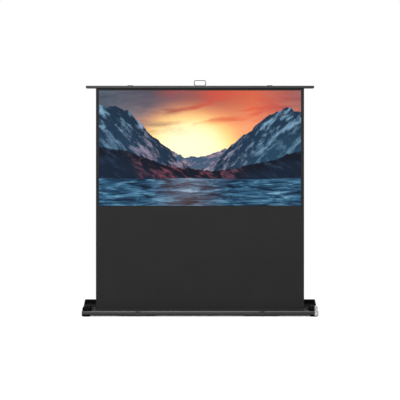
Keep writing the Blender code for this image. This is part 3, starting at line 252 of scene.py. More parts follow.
@dataclass(frozen=True)
class PowderCoat(Finish):
    """Polyester powder, sprayed and baked: a satin black skin with a fine orange peel."""

    tone: Grain = Grain(140.0, 4.0)
    # The peel is 1 mm on the real coat, drawn coarser so that it shows.
    relief: Grain = Grain(2.5, 2.0)


@dataclass(frozen=True)
class MouldedPlastic(Finish):
    """Injection moulded ABS or glass-filled nylon: a spark-eroded grain that scatters light."""

    tone: Grain = Grain(60.0, 3.0)
    # The grain is 0.3 mm on the real moulding, drawn coarser so that it shows.
    relief: Grain = Grain(1.6, 0.0, kind="TexVoronoi")
    spread: float = 0.06
    strength: float = 0.45
    depth_mm: float = 0.4


@dataclass(frozen=True)
class ExtrudedAluminium(Finish):
    """Extruded aluminium, anodised or left as drawn: fine die lines run along its length."""

    tone: Grain = Grain(1.5, 5.0, 0.7, (600.0, 1.0, 1.0))
    relief: Grain = tone
    spread: float = 0.07
    strength: float = 0.25
    depth_mm: float = 0.2


@dataclass(frozen=True)
class PlatedSteel(Finish):
    """Cold-rolled steel, plated with zinc or nickel: soft patches over faint rolling marks."""

    tone: Grain = Grain(14.0, 2.0)
    relief: Grain = Grain(3.0, 4.0, stretch=(1.0, 1.0, 12.0))
    spread: float = 0.06
    strength: float = 0.20
    depth_mm: float = 0.2


@dataclass(frozen=True)
class RubberFoam(Finish):
    """Vulcanised rubber or needled felt: a dull, broken surface that drinks the light."""

    tone: Grain = Grain(1.2, 6.0, 0.75)
    relief: Grain = tone
    spread: float = 0.04
    strength: float = 0.5
    depth_mm: float = 0.4


@dataclass(frozen=True)
class CoatedWeave(Finish):
    """Glass-fibre cloth with a black PVC coat: the weave shows through as a fine grid."""

    tone: Grain = Grain(300.0, 3.0)
    thread_mm: float = 2.0
    spread: float = 0.03
    strength: float = 0.5

    def weave(self, graph: Graph, place: Socket) -> tuple[Socket, Socket]:
        """A plain weave under the coat, with slow clouds from the coating knife.

        The threads are 0.5 mm apart on the real cloth, drawn coarser so that they show.

        Args:
            graph: The material's nodes.
            place: The place on the cloth.

        Returns:
            The mottled tone and the height of the threads, both from 0 to 1.
        """
        turns = scale_for(self.thread_mm) * math.tau / WAVE_RADIANS
        threads = graph.add("Math", [
            graph.add("TexWave", {"Vector": place, "Scale": turns}, "Fac", bands_direction=way)
            for way in "XZ"], operation="MULTIPLY")
        return graph.add("Mix", {0: 0.5, 2: self.tone.draw(graph), 3: threads}), threads

    def pattern(self, graph: Graph) -> None:
        """The same weave all over."""
        self.cover(graph, *self.weave(graph, graph.add("TexCoord", output="Object")))


# The picture

@dataclass(frozen=True)
class Ridge:
    """One fold of the land in the picture: its crest, its colours and its mist."""

    crest: tuple[Point2, ...]
    lit: str
    shade: str
    mist: str
    depth: float
    seed: float
    lean: float
    roughness: float


@dataclass
class Canvas(Graph):
    """The picture's nodes, which know where a point is.

    It has a place on the cloth, a share across from -1 to 1 and one from 0 to 1, a share up
    from 0 to 1, and a nearness to the low sun that is 1 at its middle.
    """

    cloth: Socket
    across: Socket
    share: Socket
    up: Socket
    near: Socket


@dataclass(frozen=True)
class PictureCoat(CoatedWeave):
    """Matt white PVC coat that carries a dusk picture, with the black drop below and round it.

    The picture is a plain one of its kind: evening clouds over round hills and a lake.
    """

    strength: float = 0.4
    half_width: float = 0.8855
    bottom: float = 0.966
    height: float = 1.010
    glow: Point2 = (-0.12, 0.47)
    glow_reach: Point2 = (0.66, 0.44)
    glow_ramp: Stops = (
        (0.0, "#e98a5c"), (0.35, "#f7ab66"), (0.7, "#ffd888"), (1.0, "#fff2c2"))
    # From left to right: the sky high up, the sky low down, and the banks of cloud.
    sky_ramps: tuple[Stops, ...] = (
        ((0.0, "#4a5462"), (0.26, "#544f5a"), (0.48, "#8a4c47"), (0.76, "#c05a3f"),
         (1.0, "#8f5a58")),
        ((0.0, "#6e7884"), (0.30, "#b08a7a"), (0.62, "#f0a870"), (1.0, "#e08d72")),
        ((0.0, "#363d49"), (0.26, "#4c434d"), (0.44, "#a8443a"), (0.74, "#d1492f"),
         (1.0, "#84484a")))
    lake_ramp: Stops = (
        (0.34, "#020c1b"), (0.44, "#122c44"), (0.53, "#2c5571"), (0.61, "#4f7b97"),
        (0.74, "#93b0c6"))
    # Where each thing fades in, by its place in the picture or by its noise.
    glow_edge: Point2 = (1.2, 0.0)
    low_sky: Point2 = (0.96, 0.55)
    cloud_rise: Point2 = (0.50, 0.84)
    cloud_edge: Point2 = (0.44, 0.66)
    cloud_cover: float = 0.85
    crest_edge: Point2 = (-0.002, 0.003)
    fold_edge: Point2 = (0.47, 0.66)
    mist_from: float = 0.02
    mist_cover: float = 0.55
    warmth: float = 0.42
    shore_edge: Point2 = (-0.004, 0.006)
    glint: tuple[float, ...] = (0.45, 0.0, 0.0, 0.22)
    lake: float = 0.235
    swell: float = 0.02
    warm_land: str = "#b04a48"
    warm_lake: str = "#c79a86"
    ridges: tuple[Ridge, ...] = (
        Ridge(((0.0, 0.62), (0.20, 0.56), (0.36, 0.46), (0.50, 0.42), (0.62, 0.47),
               (0.78, 0.58), (0.90, 0.62), (1.0, 0.60)),
              "#8290a4", "#324b64", "#6d7080", 0.24, 3.1, -0.4, 0.034),
        Ridge(((0.0, 0.88), (0.10, 0.86), (0.20, 0.74), (0.31, 0.54), (0.42, 0.36),
               (0.52, 0.26), (0.70, 0.24), (1.0, 0.24)),
              "#7093ac", "#12263a", "#203e57", 0.40, 7.7, 0.8, 0.038),
        Ridge(((0.0, 0.24), (0.44, 0.26), (0.55, 0.34), (0.65, 0.50), (0.76, 0.68),
               (0.86, 0.81), (0.94, 0.85), (1.0, 0.83)),
              "#7398b2", "#13293e", "#24475f", 0.40, 15.2, -0.8, 0.038),
        Ridge(((0.0, 0.52), (0.12, 0.49), (0.26, 0.39), (0.42, 0.30), (0.58, 0.29),
               (0.72, 0.33), (0.88, 0.42), (1.0, 0.48)),
              "#24364c", "#060e1b", "#0f2136", 0.12, 12.4, 0.5, 0.026),
    )

    def canvas(self, graph: Graph) -> Canvas:
        """Finds where a point is in the picture.

        Args:
            graph: The material's nodes.

        Returns:
            The same nodes with these places.
        """
        cloth = graph.add("TexCoord", output="Object")
        split = graph.add("SeparateXYZ", (cloth,)).node.outputs
        across = graph.add("Math", (split[0], self.half_width), operation="DIVIDE")
        share = graph.add("MapRange", (across, -1.0, 1.0))
        up = graph.add("MapRange", (split[2], self.bottom, self.bottom + self.height),
                       clamp=False)
        squares = []
        for where, middle, reach in zip((across, up), self.glow, self.glow_reach):
            away = graph.add("Math", (where, middle), operation="SUBTRACT")
            away = graph.add("Math", (away, reach), operation="DIVIDE")
            squares.append(graph.add("Math", (away, 2.0), operation="POWER"))
        far = graph.add("Math", squares, operation="ADD")
        near = graph.add("MapRange", (far, *self.glow_edge), **SMOOTHLY)
        return Canvas(graph.tree, cloth, across, share, up, near)

    def sky(self, graph: Canvas) -> Socket:
        """Evening sky: slate on the left, red cloud on the right and a low glow.

        Args:
            graph: The picture's nodes.

        Returns:
            The sky's colour.
        """
        high, low, cloud = (graph.add("ValToRGB", (graph.share,), stops=ramp)
                            for ramp in self.sky_ramps)
        sink = graph.add("MapRange", (graph.up, *self.low_sky), **SMOOTHLY)
        base = graph.add("Mix", {FAC: sink, A: high, B: low}, **COLOURS)
        light = graph.add("ValToRGB", (graph.near,), stops=self.glow_ramp)
        lit = graph.add("Mix", {FAC: graph.near, A: base, B: light}, **COLOURS)
        streak = graph.add("Mapping", {"Vector": graph.cloth, "Rotation": (0.0, -0.10, 0.0),
                                       "Scale": (1.1, 1.0, 0.24)}, vector_type="TEXTURE")
        billow = graph.add("TexNoise", {"Vector": streak, "Scale": 2.2, "Detail": 8.0,
                                        "Roughness": 0.58, "Distortion": 0.4})
        bank = graph.add("MapRange", (billow, *self.cloud_edge), **SMOOTHLY)
        aloft = graph.add("MapRange", (graph.up, *self.cloud_rise), **SMOOTHLY)
        for part in (aloft, self.cloud_cover):
            bank = graph.add("Math", (bank, part), operation="MULTIPLY")
        return graph.add("Mix", {FAC: bank, A: lit, B: cloud}, **COLOURS)

    def land(self, graph: Canvas, colour: Socket) -> Socket:
        """Lays the folds of land over the sky, from the farthest to the nearest.

        Args:
            graph: The picture's nodes.
            colour: What lies behind.

        Returns:
            The colour with the land over it.
        """
        for ridge in self.ridges:
            crest = graph.add("ValToRGB", (graph.share,), easing="B_SPLINE",
                              stops=[(place, grey(height)) for place, height in ridge.crest])
            shifted = graph.add("Mapping", {"Vector": graph.cloth,
                                            "Location": (ridge.seed, 0.0, ridge.seed)})
            rough = graph.add("TexNoise", {"Vector": shifted, "Scale": 5.0, "Detail": 8.0,
                                           "Roughness": 0.6})
            rough = graph.add("MapRange", (rough, 0.3, 0.7, -ridge.roughness, ridge.roughness),
                              clamp=False)
            crest = graph.add("Math", (crest, rough), operation="ADD")
            under = graph.add("Math", (crest, graph.up), operation="SUBTRACT")
            mask = graph.add("MapRange", (under, *self.crest_edge))
            slopes = graph.add("Mapping", {"Vector": shifted, "Rotation": (0.0, ridge.lean, 0.0),
                                           "Scale": (1.0, 1.0, 0.34)}, vector_type="TEXTURE")
            folds = graph.add("TexNoise", {"Vector": slopes, "Scale": 6.0, "Detail": 9.0,
                                           "Roughness": 0.66, "Distortion": 0.35})
            folds = graph.add("MapRange", (folds, *self.fold_edge), **SMOOTHLY)
            haze = graph.add("MapRange", (under, self.mist_from, ridge.depth, 0.0,
                                          self.mist_cover), **SMOOTHLY)
            warm = graph.near
            for part in (folds, self.warmth):
                warm = graph.add("Math", (warm, part), operation="MULTIPLY")
            face = linear(ridge.shade)
            for share, tint in ((folds, ridge.lit), (haze, ridge.mist), (warm, self.warm_land)):
                face = graph.add("Mix", {FAC: share, A: face, B: linear(tint)}, **COLOURS)
            colour = graph.add("Mix", {FAC: mask, A: colour, B: face}, **COLOURS)
        return colour

    def water(self, graph: Canvas, colour: Socket) -> Socket:
        """Lays the lake over the foot of the land, with long ripples and the glow in it.

        Args:
            graph: The picture's nodes.
            colour: What lies behind.

        Returns:
            The colour with the lake over it.
        """
        long = graph.add("Mapping", {"Vector": graph.cloth, "Scale": (1.5, 1.0, 11.0)})
        ripple = graph.add("TexNoise", {"Vector": long, "Scale": 3.0, "Detail": 10.0,
                                        "Roughness": 0.66, "Distortion": 0.6})
        lake = graph.add("ValToRGB", (ripple,), stops=self.lake_ramp)
        glint = graph.add("Math", (graph.across, self.glow[0]), operation="SUBTRACT")
        glint = graph.add("Math", (glint,), operation="ABSOLUTE")
        glint = graph.add("MapRange", (glint, *self.glint), **SMOOTHLY)
        glint = graph.add("Math", (glint, ripple), operation="MULTIPLY")
        lake = graph.add("Mix", {FAC: glint, A: lake, B: linear(self.warm_lake)}, **COLOURS)
        shore = graph.add("TexNoise", {"Vector": long, "Scale": 1.0, "Detail": 3.0})
        shore = graph.add("MapRange", (shore, 0.0, 1.0, self.lake - self.swell,
                                       self.lake + self.swell))
        shore = graph.add("Math", (shore, graph.up), operation="SUBTRACT")
        shore = graph.add("MapRange", (shore, *self.shore_edge))
        return graph.add("Mix", {FAC: shore, A: colour, B: lake}, **COLOURS)

    def pattern(self, graph: Graph) -> None:
        """The picture on the front inside its border, and the black coat on all the rest.

        Args:
            graph: The material's nodes.
        """
        graph = self.canvas(graph)
        picture = self.water(graph, self.land(graph, self.sky(graph)))
        aside = graph.add("Math", (graph.across,), operation="ABSOLUTE")
        normal = graph.add("TexCoord", output="Normal")
        facing = graph.add("SeparateXYZ", (normal,), "Y")
        inside = graph.add("Math", (graph.up, 0.0), operation="GREATER_THAN")
        for where, limit in ((graph.up, 1.0), (aside, 1.0), (facing, -0.2)):
            within = graph.add("Math", (where, limit), operation="LESS_THAN")
            inside = graph.add("Math", (inside, within), operation="MULTIPLY")
        tone, threads = self.weave(graph, graph.cloth)
        black = graph.add("Mix", {FAC: tone, A: linear(self.darker), B: linear(self.lighter)},
                          **COLOURS)
        colour = graph.add("Mix", {FAC: inside, A: black, B: picture}, **COLOURS)
        bump = graph.add("Bump", {"Height": threads, "Strength": self.strength,
                                  "Distance": self.depth_mm / 1000})
        graph.fill(SHADER, {"Base Color": colour, "Normal": bump})


# Satin blacks: a soft light along every edge. The lid is a darker, duller copy of the case's
# powder coat: painted shade, so it stays back.
POWDER = PowderCoat("powder_coated_aluminium", "#1f1f21", "#1b1b1d", "#242426", 0.36,
                    specular=0.44)
SHADED_LID_POWDER = PowderCoat("powder_coated_lid_painted_shade", "#0a0a0a", "#080808", "#0d0d0d", 0.55,
                        specular=0.10)
ARM_POWDER = PowderCoat("powder_coated_arms", "#161617", "#121213", "#1b1b1c", 0.45,
                        specular=0.3)
BLACK_STEEL = PowderCoat("black_painted_steel", "#1a1a1b", "#161617", "#1f1f20", 0.4,
                         specular=0.4)
# Extrusions: a dry black and a bright grey, both drawn out along their length.
BLACK_ANODISED = ExtrudedAluminium("black_anodised_extrusion", "#1e1e1f", "#19191a", "#232324",
                                   0.42, specular=0.2)
MILL = ExtrudedAluminium("mill_finish_aluminium", "#c6c8ca", "#b3b5b8", "#d3d5d7", 0.36,
                         metallic=1.0)
# Mouldings: the deepest black, a soft black and a milky white, none of which shines.
ABS = MouldedPlastic("moulded_abs", "#060606", "#040404", "#080808", 0.6, specular=0.04)
GLASS_NYLON = MouldedPlastic("glass_filled_nylon", "#141415", "#0b0b0c", "#131314", 0.6,
                             specular=0.2)
NATURAL_NYLON = MouldedPlastic("natural_nylon", "#dcd9d2", "#d3d0c8", "#e4e2dc", 0.5,
                               specular=0.4, relief=Grain(1.0, 0.0, kind="TexVoronoi"))
# Steels: cool grey zinc, the clip's white flash, a zinc darkened as painted shade for the
# roller's brackets, a near black and the spring's dark sheen.
ZINC = PlatedSteel("zinc_plated_steel", "#c4c6c9", "#b4b6b8", "#d2d3d4", 0.34, metallic=1.0)
NICKEL = PlatedSteel("bright_nickel_steel", "#d0d0d0", "#b0b0b0", "#ececec", 0.24,
                     metallic=1.0)
SHADED_ZINC = PlatedSteel("zinc_plated_steel_painted_shade", "#1b1b1c", "#151516", "#212122", 0.5,
                        metallic=0.2, specular=0.15)
GREY_STEEL = PlatedSteel("dark_grey_plated_steel", "#1d1d1f", "#171719", "#242426", 0.5,
                         metallic=0.2, specular=0.15)
SPRING = PlatedSteel("oil_tempered_spring_wire", "#8b8b8d", "#77777a", "#97979a", 0.35,
                     metallic=1.0, relief=Grain(1.0, 4.0, stretch=(1.0, 1.0, 12.0)))
# Pads and felt: dull spots that take no highlight.
RUBBER = RubberFoam("vulcanised_rubber", "#0f0f0f", "#0a0a0a", "#141414", 0.85, specular=0.2)
FELT = RubberFoam("needled_felt", "#121213", "#0a0a0a", "#141414", 0.95, specular=0.1,
                  tone=Grain(2.0, 6.0, 0.75), relief=Grain(2.0, 6.0, 0.75))
# Cloth: an even charcoal, and the only colour in the scene, flat and without a glare.
BACKING = CoatedWeave("black_backed_cloth", "#242425", "#1f1f20", "#2b2b2b", 0.9,
                      specular=0.12)
PICTURE = PictureCoat("coated_screen_cloth", "#242425", "#1f1f20", "#2b2b2b", 0.9,
                      specular=0.12)


# Forms

class View(Enum):
    """Which of (u, v, run) become X, Y and Z when a flat outline is extruded."""

    SIDE = (2, 0, 1)
    PLAN = (0, 1, 2)


def spaced(low: float, high: float, steps: int) -> list[float]:
    """Places from low to high in equal steps, both ends included."""
    return [low + (high - low) * i / steps for i in range(steps + 1)]


def arc(centre: Point2, radius: float, start: float, end: float, steps: int = 8,
        rise: float = 0.0) -> list[Point2]:
    """Points on an arc.

    Args:
        centre: The middle of the arc.
        radius: Its radius.
        start: The angle of the first point, in degrees.
        end: The angle of the last point, in degrees.
        steps: How many steps it is cut into.
        rise: Its radius upwards, where that is another one.

    Returns:
        The points, both ends included.
    """
    return [(centre[0] + radius * math.cos(a), centre[1] + (rise or radius) * math.sin(a))
            for a in map(math.radians, spaced(start, end, steps))]


def circle(radius: float, sides: int) -> list[Point2]:
    """The corners of a round section, or its one point when it has no radius."""
    return arc(ORIGIN, radius, 0, 360, sides)[:-1] if radius > ON_AXIS else [ORIGIN]


def rounded_box(low: Point2, high: Point2, corner: float, steps: int = 4) -> list[Point2]:
    """The outline of a rectangle with round corners.

    Args:
        low: The lowest corner.
        high: The highest corner.
        corner: The radius of the corners.
        steps: How many steps each corner is cut into.

    Returns:
        The outline's points.
    """
    (u0, v0), (u1, v1) = low, high
    middles = ((u1 - corner, v0 + corner), (u1 - corner, v1 - corner),
               (u0 + corner, v1 - corner), (u0 + corner, v0 + corner))
    return [point for turn, middle in enumerate(middles)
            for point in arc(middle, corner, 90 * turn - 90, 90 * turn, steps)]


def span(form: Form, near: Sequence, far: Sequence, first: int = 1) -> None:
    """Spans faces between two lines of corners, which close on themselves if first is 0."""
    for i in range(first, len(near)):
        form.faces.new((near[i - 1], near[i], far[i], far[i - 1]))


def prism(loop: Sequence[Point2], low: float, high: float, view: View) -> Form:
    """Extrudes a flat outline.

    Args:
        loop: The outline's points.
        low: Where the run starts.
        high: Where the run ends.
        view: Which way the outline faces.

    Returns:
        The closed form.
    """
    form = bmesh.new()
    first, last = ([form.verts.new([(*point, run)[i] for i in view.value]) for point in loop]
                   for run in (low, high))
    form.faces.new(first)
    form.faces.new(last[::-1])
    span(form, first, last, 0)
    return form


@dataclass(frozen=True)
class Strip:
    """A strip with round edges that runs along X, by the corners of its (y, z) section."""

    low: Point2
    high: Point2
    corner: float

    def form(self, *ends: float) -> Form:
        """Makes the strip between its two ends."""
        return prism(rounded_box(self.low, self.high, self.corner), *ends, View.SIDE)


def lathe(profile: Sequence[Point2], sides: int = 32) -> Form:
    """Turns a profile round the Z axis.

    Args:
        profile: Points of (radius, height). One that starts off the axis is closed to a ring.
        sides: How many sides a turn has.

    Returns:
        The closed form.
    """
    form = bmesh.new()
    rings = []
    for radius, height in profile:
        ring = [form.verts.new((*corner, height)) for corner in circle(radius, sides)]
        rings.append(ring * (sides // len(ring)))
    if profile[0][0] > ON_AXIS:
        rings.append(rings[0])
    for lower, upper in zip(rings, rings[1:]):
        for i in range(sides):
            corners = list(dict.fromkeys((lower[i - 1], lower[i], upper[i], upper[i - 1])))
            if len(corners) > 2:
                form.faces.new(corners)
    return form


def tube(path: Sequence[Vector], radius: float, sides: int = 16) -> Form:
    """Sweeps a round section along a path, with its ends closed.

    Args:
        path: The points of the centre line.
        radius: The section's radius.
        sides: How many sides the section has.

    Returns:
        The closed form.
    """
    form = bmesh.new()
    ahead = [(path[min(i + 1, len(path) - 1)] - path[max(i - 1, 0)]).normalized()
             for i in range(len(path))]
    across = ahead[0].orthogonal().normalized()
    rings = []
    for point, heading in zip(path, ahead):
        across = (across - heading * across.dot(heading)).normalized()
        other = heading.cross(across)
        rings.append([form.verts.new(point + across * u + other * v)
                      for u, v in circle(radius, sides)])
    for near, far in zip(rings, rings[1:]):
        span(form, near, far, 0)
    form.faces.new(rings[0][::-1])
    form.faces.new(rings[-1])
    return form


def slab(columns: Sequence[float], rows: Sequence[float], front: Surface,
         back: Surface) -> Form:
    """A thin closed form between two surfaces over one grid.

    Args:
        columns: The grid's places across.
        rows: The grid's places along.
        front: Gives the front's point at a place of the grid.
        back: Gives the back's point there.

    Returns:
        The closed form.
    """
    form = bmesh.new()
    sides = [[[form.verts.new(surface(u, v)) for u in columns] for v in rows]
             for surface in (front, back)]
    for grid in sides:
        for lower, upper in zip(grid, grid[1:]):
            span(form, lower, upper)
    for end in (0, -1):
        span(form, sides[0][end], sides[1][end])
        span(form, *([row[end] for row in grid] for grid in sides))
    return form


def to_mesh(name: str, form: Form) -> bpy.types.Mesh:
    """Turns a form into a mesh.

    Args:
        name: The mesh's name.
        form: The form, which is used up.

    Returns:
        The mesh.
    """
    mesh = bpy.data.meshes.new(name)
    form.to_mesh(mesh)
    form.free()
    return mesh


def joined(forms: Iterable[Form]) -> Form:
    """Puts several forms into one.

    Args:
        forms: The forms, which are used up.

    Returns:
        One form with all of them.
    """
    whole = bmesh.new()
    for form in forms:
        mesh = to_mesh("part", form)
        whole.from_mesh(mesh)
        bpy.data.meshes.remove(mesh)
    return whole


def moved(form: Form, matrix: Matrix) -> Form:
    """Moves a form by a matrix, and gives it back."""
    bmesh.ops.transform(form, matrix=matrix, verts=form.verts)
    return form


def along(axis: str, degrees: float, place: Sequence[float]) -> Matrix:
    """A turn round an axis, by name, followed by a move to a place."""
    return Matrix.Translation(place) @ Matrix.Rotation(math.radians(degrees), 4, axis)


def around(spread: float, middles: Iterable[float] = (0.0,)) -> list[float]:
    """The places that lie a spread to the left and to the right of some middles."""
    return [middle + side * spread for middle in middles for side in (-1, 1)]


# Pieces

def put(name: str, data: bpy.types.ID) -> Piece:
    """Stands a mesh, lamp or camera in the scene.

    Args:
        name: The object's name.
        data: What it shows.

    Returns:
        The object.
    """
    made = bpy.data.objects.new(name, data)
    bpy.context.scene.collection.objects.link(made)
    return made


def modify(piece: Piece, kind: str, **settings: object) -> None:
    """Adds a modifier of a kind to a piece, with its own fields set."""
    configure(piece.modifiers.new(kind.lower(), kind), settings)


def soften(piece: Piece, width: float) -> None:
    """Rounds a piece's hard edges and shades it smooth.

    Args:
        piece: The piece.
        width: The edges' width, or 0 to leave them sharp.
    """
    piece.data.shade_smooth()
    if width:
        modify(piece, "BEVEL", width=width, segments=2, limit_method="ANGLE",
               angle_limit=HARD_EDGE)
        modify(piece, "WEIGHTED_NORMAL", keep_sharp=True)
    else:
        piece.data.set_sharp_from_angle(angle=HARD_EDGE)


def make_piece(name: str, form: Form, finish: Finish, body: str,
               stands_for: Sequence[str] = (), width: float = 0.0) -> Piece:
    """Makes a piece of a form and hangs it on its body.

    Args:
        name: The piece's name.
        form: Its form, which is used up.
        finish: Its finish.
        body: The body that it rides on.
        stands_for: The solids that it replaces.
        width: How wide its edges are rounded.

    Returns:
        The piece.
    """
    bmesh.ops.recalc_face_normals(form, faces=form.faces)
    piece = put(name, to_mesh(name, form))
    piece.data.materials.append(finish.material())
    soften(piece, width)
    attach(piece, body)
    if stands_for:
        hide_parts(*stands_for)
    LOG.info("%s: %d faces in %s on %s", name, len(piece.data.polygons), finish.name, body)
    return piece


def dress(names: str, finish: Finish, width: float = 0.0004) -> None:
    """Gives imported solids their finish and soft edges.

    Args:
        names: The solids' names, with spaces between.
        finish: Their finish.
        width: How wide their edges are rounded.
    """
    for name in names.split():
        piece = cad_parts[name]
        mesh = piece.data
        for attribute in ("custom_normal", "sharp_edge", "sharp_face"):
            if attribute in mesh.attributes:
                mesh.attributes.remove(mesh.attributes[attribute])
        mesh.materials.clear()
        mesh.materials.append(finish.material())
        modify(piece, "WELD", merge_threshold=WELD_WITHIN)
        modify(piece, "DECIMATE", decimate_type="DISSOLVE", angle_limit=FLAT_WITHIN)
        soften(piece, width)
        LOG.info("%s: carried over in %s", name, finish.name)


# Small fasteners

class Drive(Enum):
    """Whether a head has a cross to turn it by, or is a rivet's."""

    CROSS = "cross"
    PLAIN = "plain"


@dataclass(frozen=True)
class Fastener:
    """A domed head, standing on +Z, with or without a crossed slot."""

    radius: float
    height: float
    drive: Drive = Drive.PLAIN
    rim: float = 0.25
    arm: float = 0.42
    slot: float = 0.16
    cross: Point2 = (0.86, 1.05)
    sides: int = 24

    def form(self) -> Form:
        """Makes one head.

        Returns:
            The form, with its foot at the origin.
        """
        top = self.height
        rim = top * self.rim
        dome = arc((0.0, rim), self.radius, 0, 90, 6, rise=top - rim)[:-1]
        head = lathe([ORIGIN, (self.radius, 0.0), *dome, (0.0, top)], self.sides)
        if self.drive is Drive.PLAIN:
            return head
        reach, half = self.radius * self.arm, self.radius * self.slot
        corners, outline = [(reach, -half), (reach, half), (half, half)], []
        for _ in range(4):
            outline += corners
            corners = [(-v, u) for u, v in corners]
        low, high = self.cross
        return joined([head, prism(outline, top * low, top * high, View.PLAN)])

    def row(self, places: Iterable[Point3], outward: Vector) -> Form:
        """Sets a head at each place.

        Args:
            places: Where the heads' feet are.
            outward: Which way the heads face.

        Returns:
            All the heads in one form.
        """
        turn = outward.to_track_quat("Z", "Y").to_matrix().to_4x4()
        return joined(moved(self.form(), Matrix.Translation(place) @ turn)
                      for place in places)


UP, RIGHT, LEFT = Vector((0, 0, 1)), Vector((1, 0, 0)), Vector((-1, 0, 0))
FRONTWARD, BACKWARD = Vector((0, -1, 0)), Vector((0, 1, 0))


# Sub-assemblies

@dataclass(frozen=True)
class Softbox:
    """A flat lamp that faces the middle of the screen."""

    name: str
    place: Point3
    power: float
    size: Point2 = (3.6, 3.6)
    lights_faces: bool = True


@dataclass
class Studio:
    """Camera, pale floor and soft light. The strip only draws highlights along edges."""

    camera_height: float = 1.016
    distance: float = 8.0
    frame_height: float = 3.504
    sensor: float = 36.0
    floor_half: float = 30.0
    floor_depth: float = 0.02
    # How far the painted contact shadow reaches, and from which occlusion the floor is left
    # unshaded.
    painted_shadow_reach: float = 0.045
    open_from: float = 0.15
    floor_glow: float = 0.94
    world_light: float = 0.48
    lamps: tuple[Softbox, ...] = (
        Softbox("key", (-0.8, -5.6, 2.8), 300.0),
        Softbox("fill", (2.8, 3.4, 3.4), 50.0),
        Softbox("strip", (0.0, -1.7, 4.2), 200.0, (4.0, 0.5), lights_faces=False))

    def camera(self) -> None:
        """Sets the camera level, square to the fabric and at half its height."""
        lens = bpy.data.cameras.new("view")
        lens.sensor_width = self.sensor
        lens.lens = self.sensor * self.distance / self.frame_height
        eye = put("view", lens)
        eye.location = (0.0, -self.distance, self.camera_height)
        eye.rotation_euler = (math.pi / 2, 0.0, 0.0)
        bpy.context.scene.camera = eye

    def world(self) -> None:
        """White to the eye and in mirrors and glass, and an even pale light for the rest."""
        world = bpy.data.worlds.new("studio")
        world.use_nodes = True
        graph = Graph(world.node_tree)
        path = graph.add("LightPath").node.outputs
        seen = path["Is Camera Ray"]
        for ray in ("Is Glossy Ray", "Is Transmission Ray"):
            seen = graph.add("Math", (seen, path[ray]), operation="MAXIMUM")
        strength = graph.add("Mix", {0: seen, 2: self.world_light, 3: 1.0})
        graph.fill("Background", {"Color": (1, 1, 1, 1), "Strength": strength})
        bpy.context.scene.world = world

    def floor(self) -> None:
        """A wide pale floor that is white to the eye, takes a faint shadow and has a painted
        contact shadow under the screen.
        """
        half = self.floor_half
        form = prism([(-half, -half), (half, -half), (half, half), (-half, half)],
                     -self.floor_depth, 0.0, View.PLAN)
        floor = put("studio_floor", to_mesh("studio_floor", form))
        paint = bpy.data.materials.new("pale_studio_paper")
        paint.use_nodes = True
        graph = Graph(paint.node_tree)
        graph.tree.nodes.remove(graph.tree.nodes[SHADER])
        dull = graph.add("BsdfDiffuse", {"Color": linear("#dcdcdc")})
        faint = graph.add("BsdfDiffuse", {"Color": linear("#6c6c6c")})
        # Ambient occlusion dims the floor's glow close to the screen: painted contact shadow.
        near = graph.add("AmbientOcclusion", {"Distance": self.painted_shadow_reach}, "AO", samples=8)
        share = graph.add("MapRange", (near, 0.0, self.open_from, 0.0, self.floor_glow))
        glow = graph.add("Emission", {"Color": (1, 1, 1, 1), "Strength": share})
        shown = graph.add("AddShader", (faint, glow))
        eye = graph.add("LightPath", output="Is Camera Ray")
        mixed = graph.add("MixShader", (eye, dull, shown))
        graph.fill("Material Output", {"Surface": mixed})
        floor.data.materials.append(paint)

    def light(self) -> None:
        """Hangs the lamps and turns each to the middle of the screen."""
        for box in self.lamps:
            light = bpy.data.lights.new(box.name, "AREA")
            configure(light, {"energy": box.power, "shape": "RECTANGLE",
                              "size": box.size[0], "size_y": box.size[1]})
            aim = Vector((0.0, 0.0, self.camera_height)) - Vector(box.place)
            configure(put(box.name, light), {
                "location": box.place, "visible_diffuse": box.lights_faces,
                "rotation_euler": aim.to_track_quat("-Z", "Y").to_euler()})

    def build(self) -> None:
        """Sets the whole studio up."""
        self.camera()
        self.world()
        self.floor()
        self.light()
        bpy.context.scene.view_settings.view_transform = "Standard"
        LOG.info("studio: camera %.2f m away", self.distance)


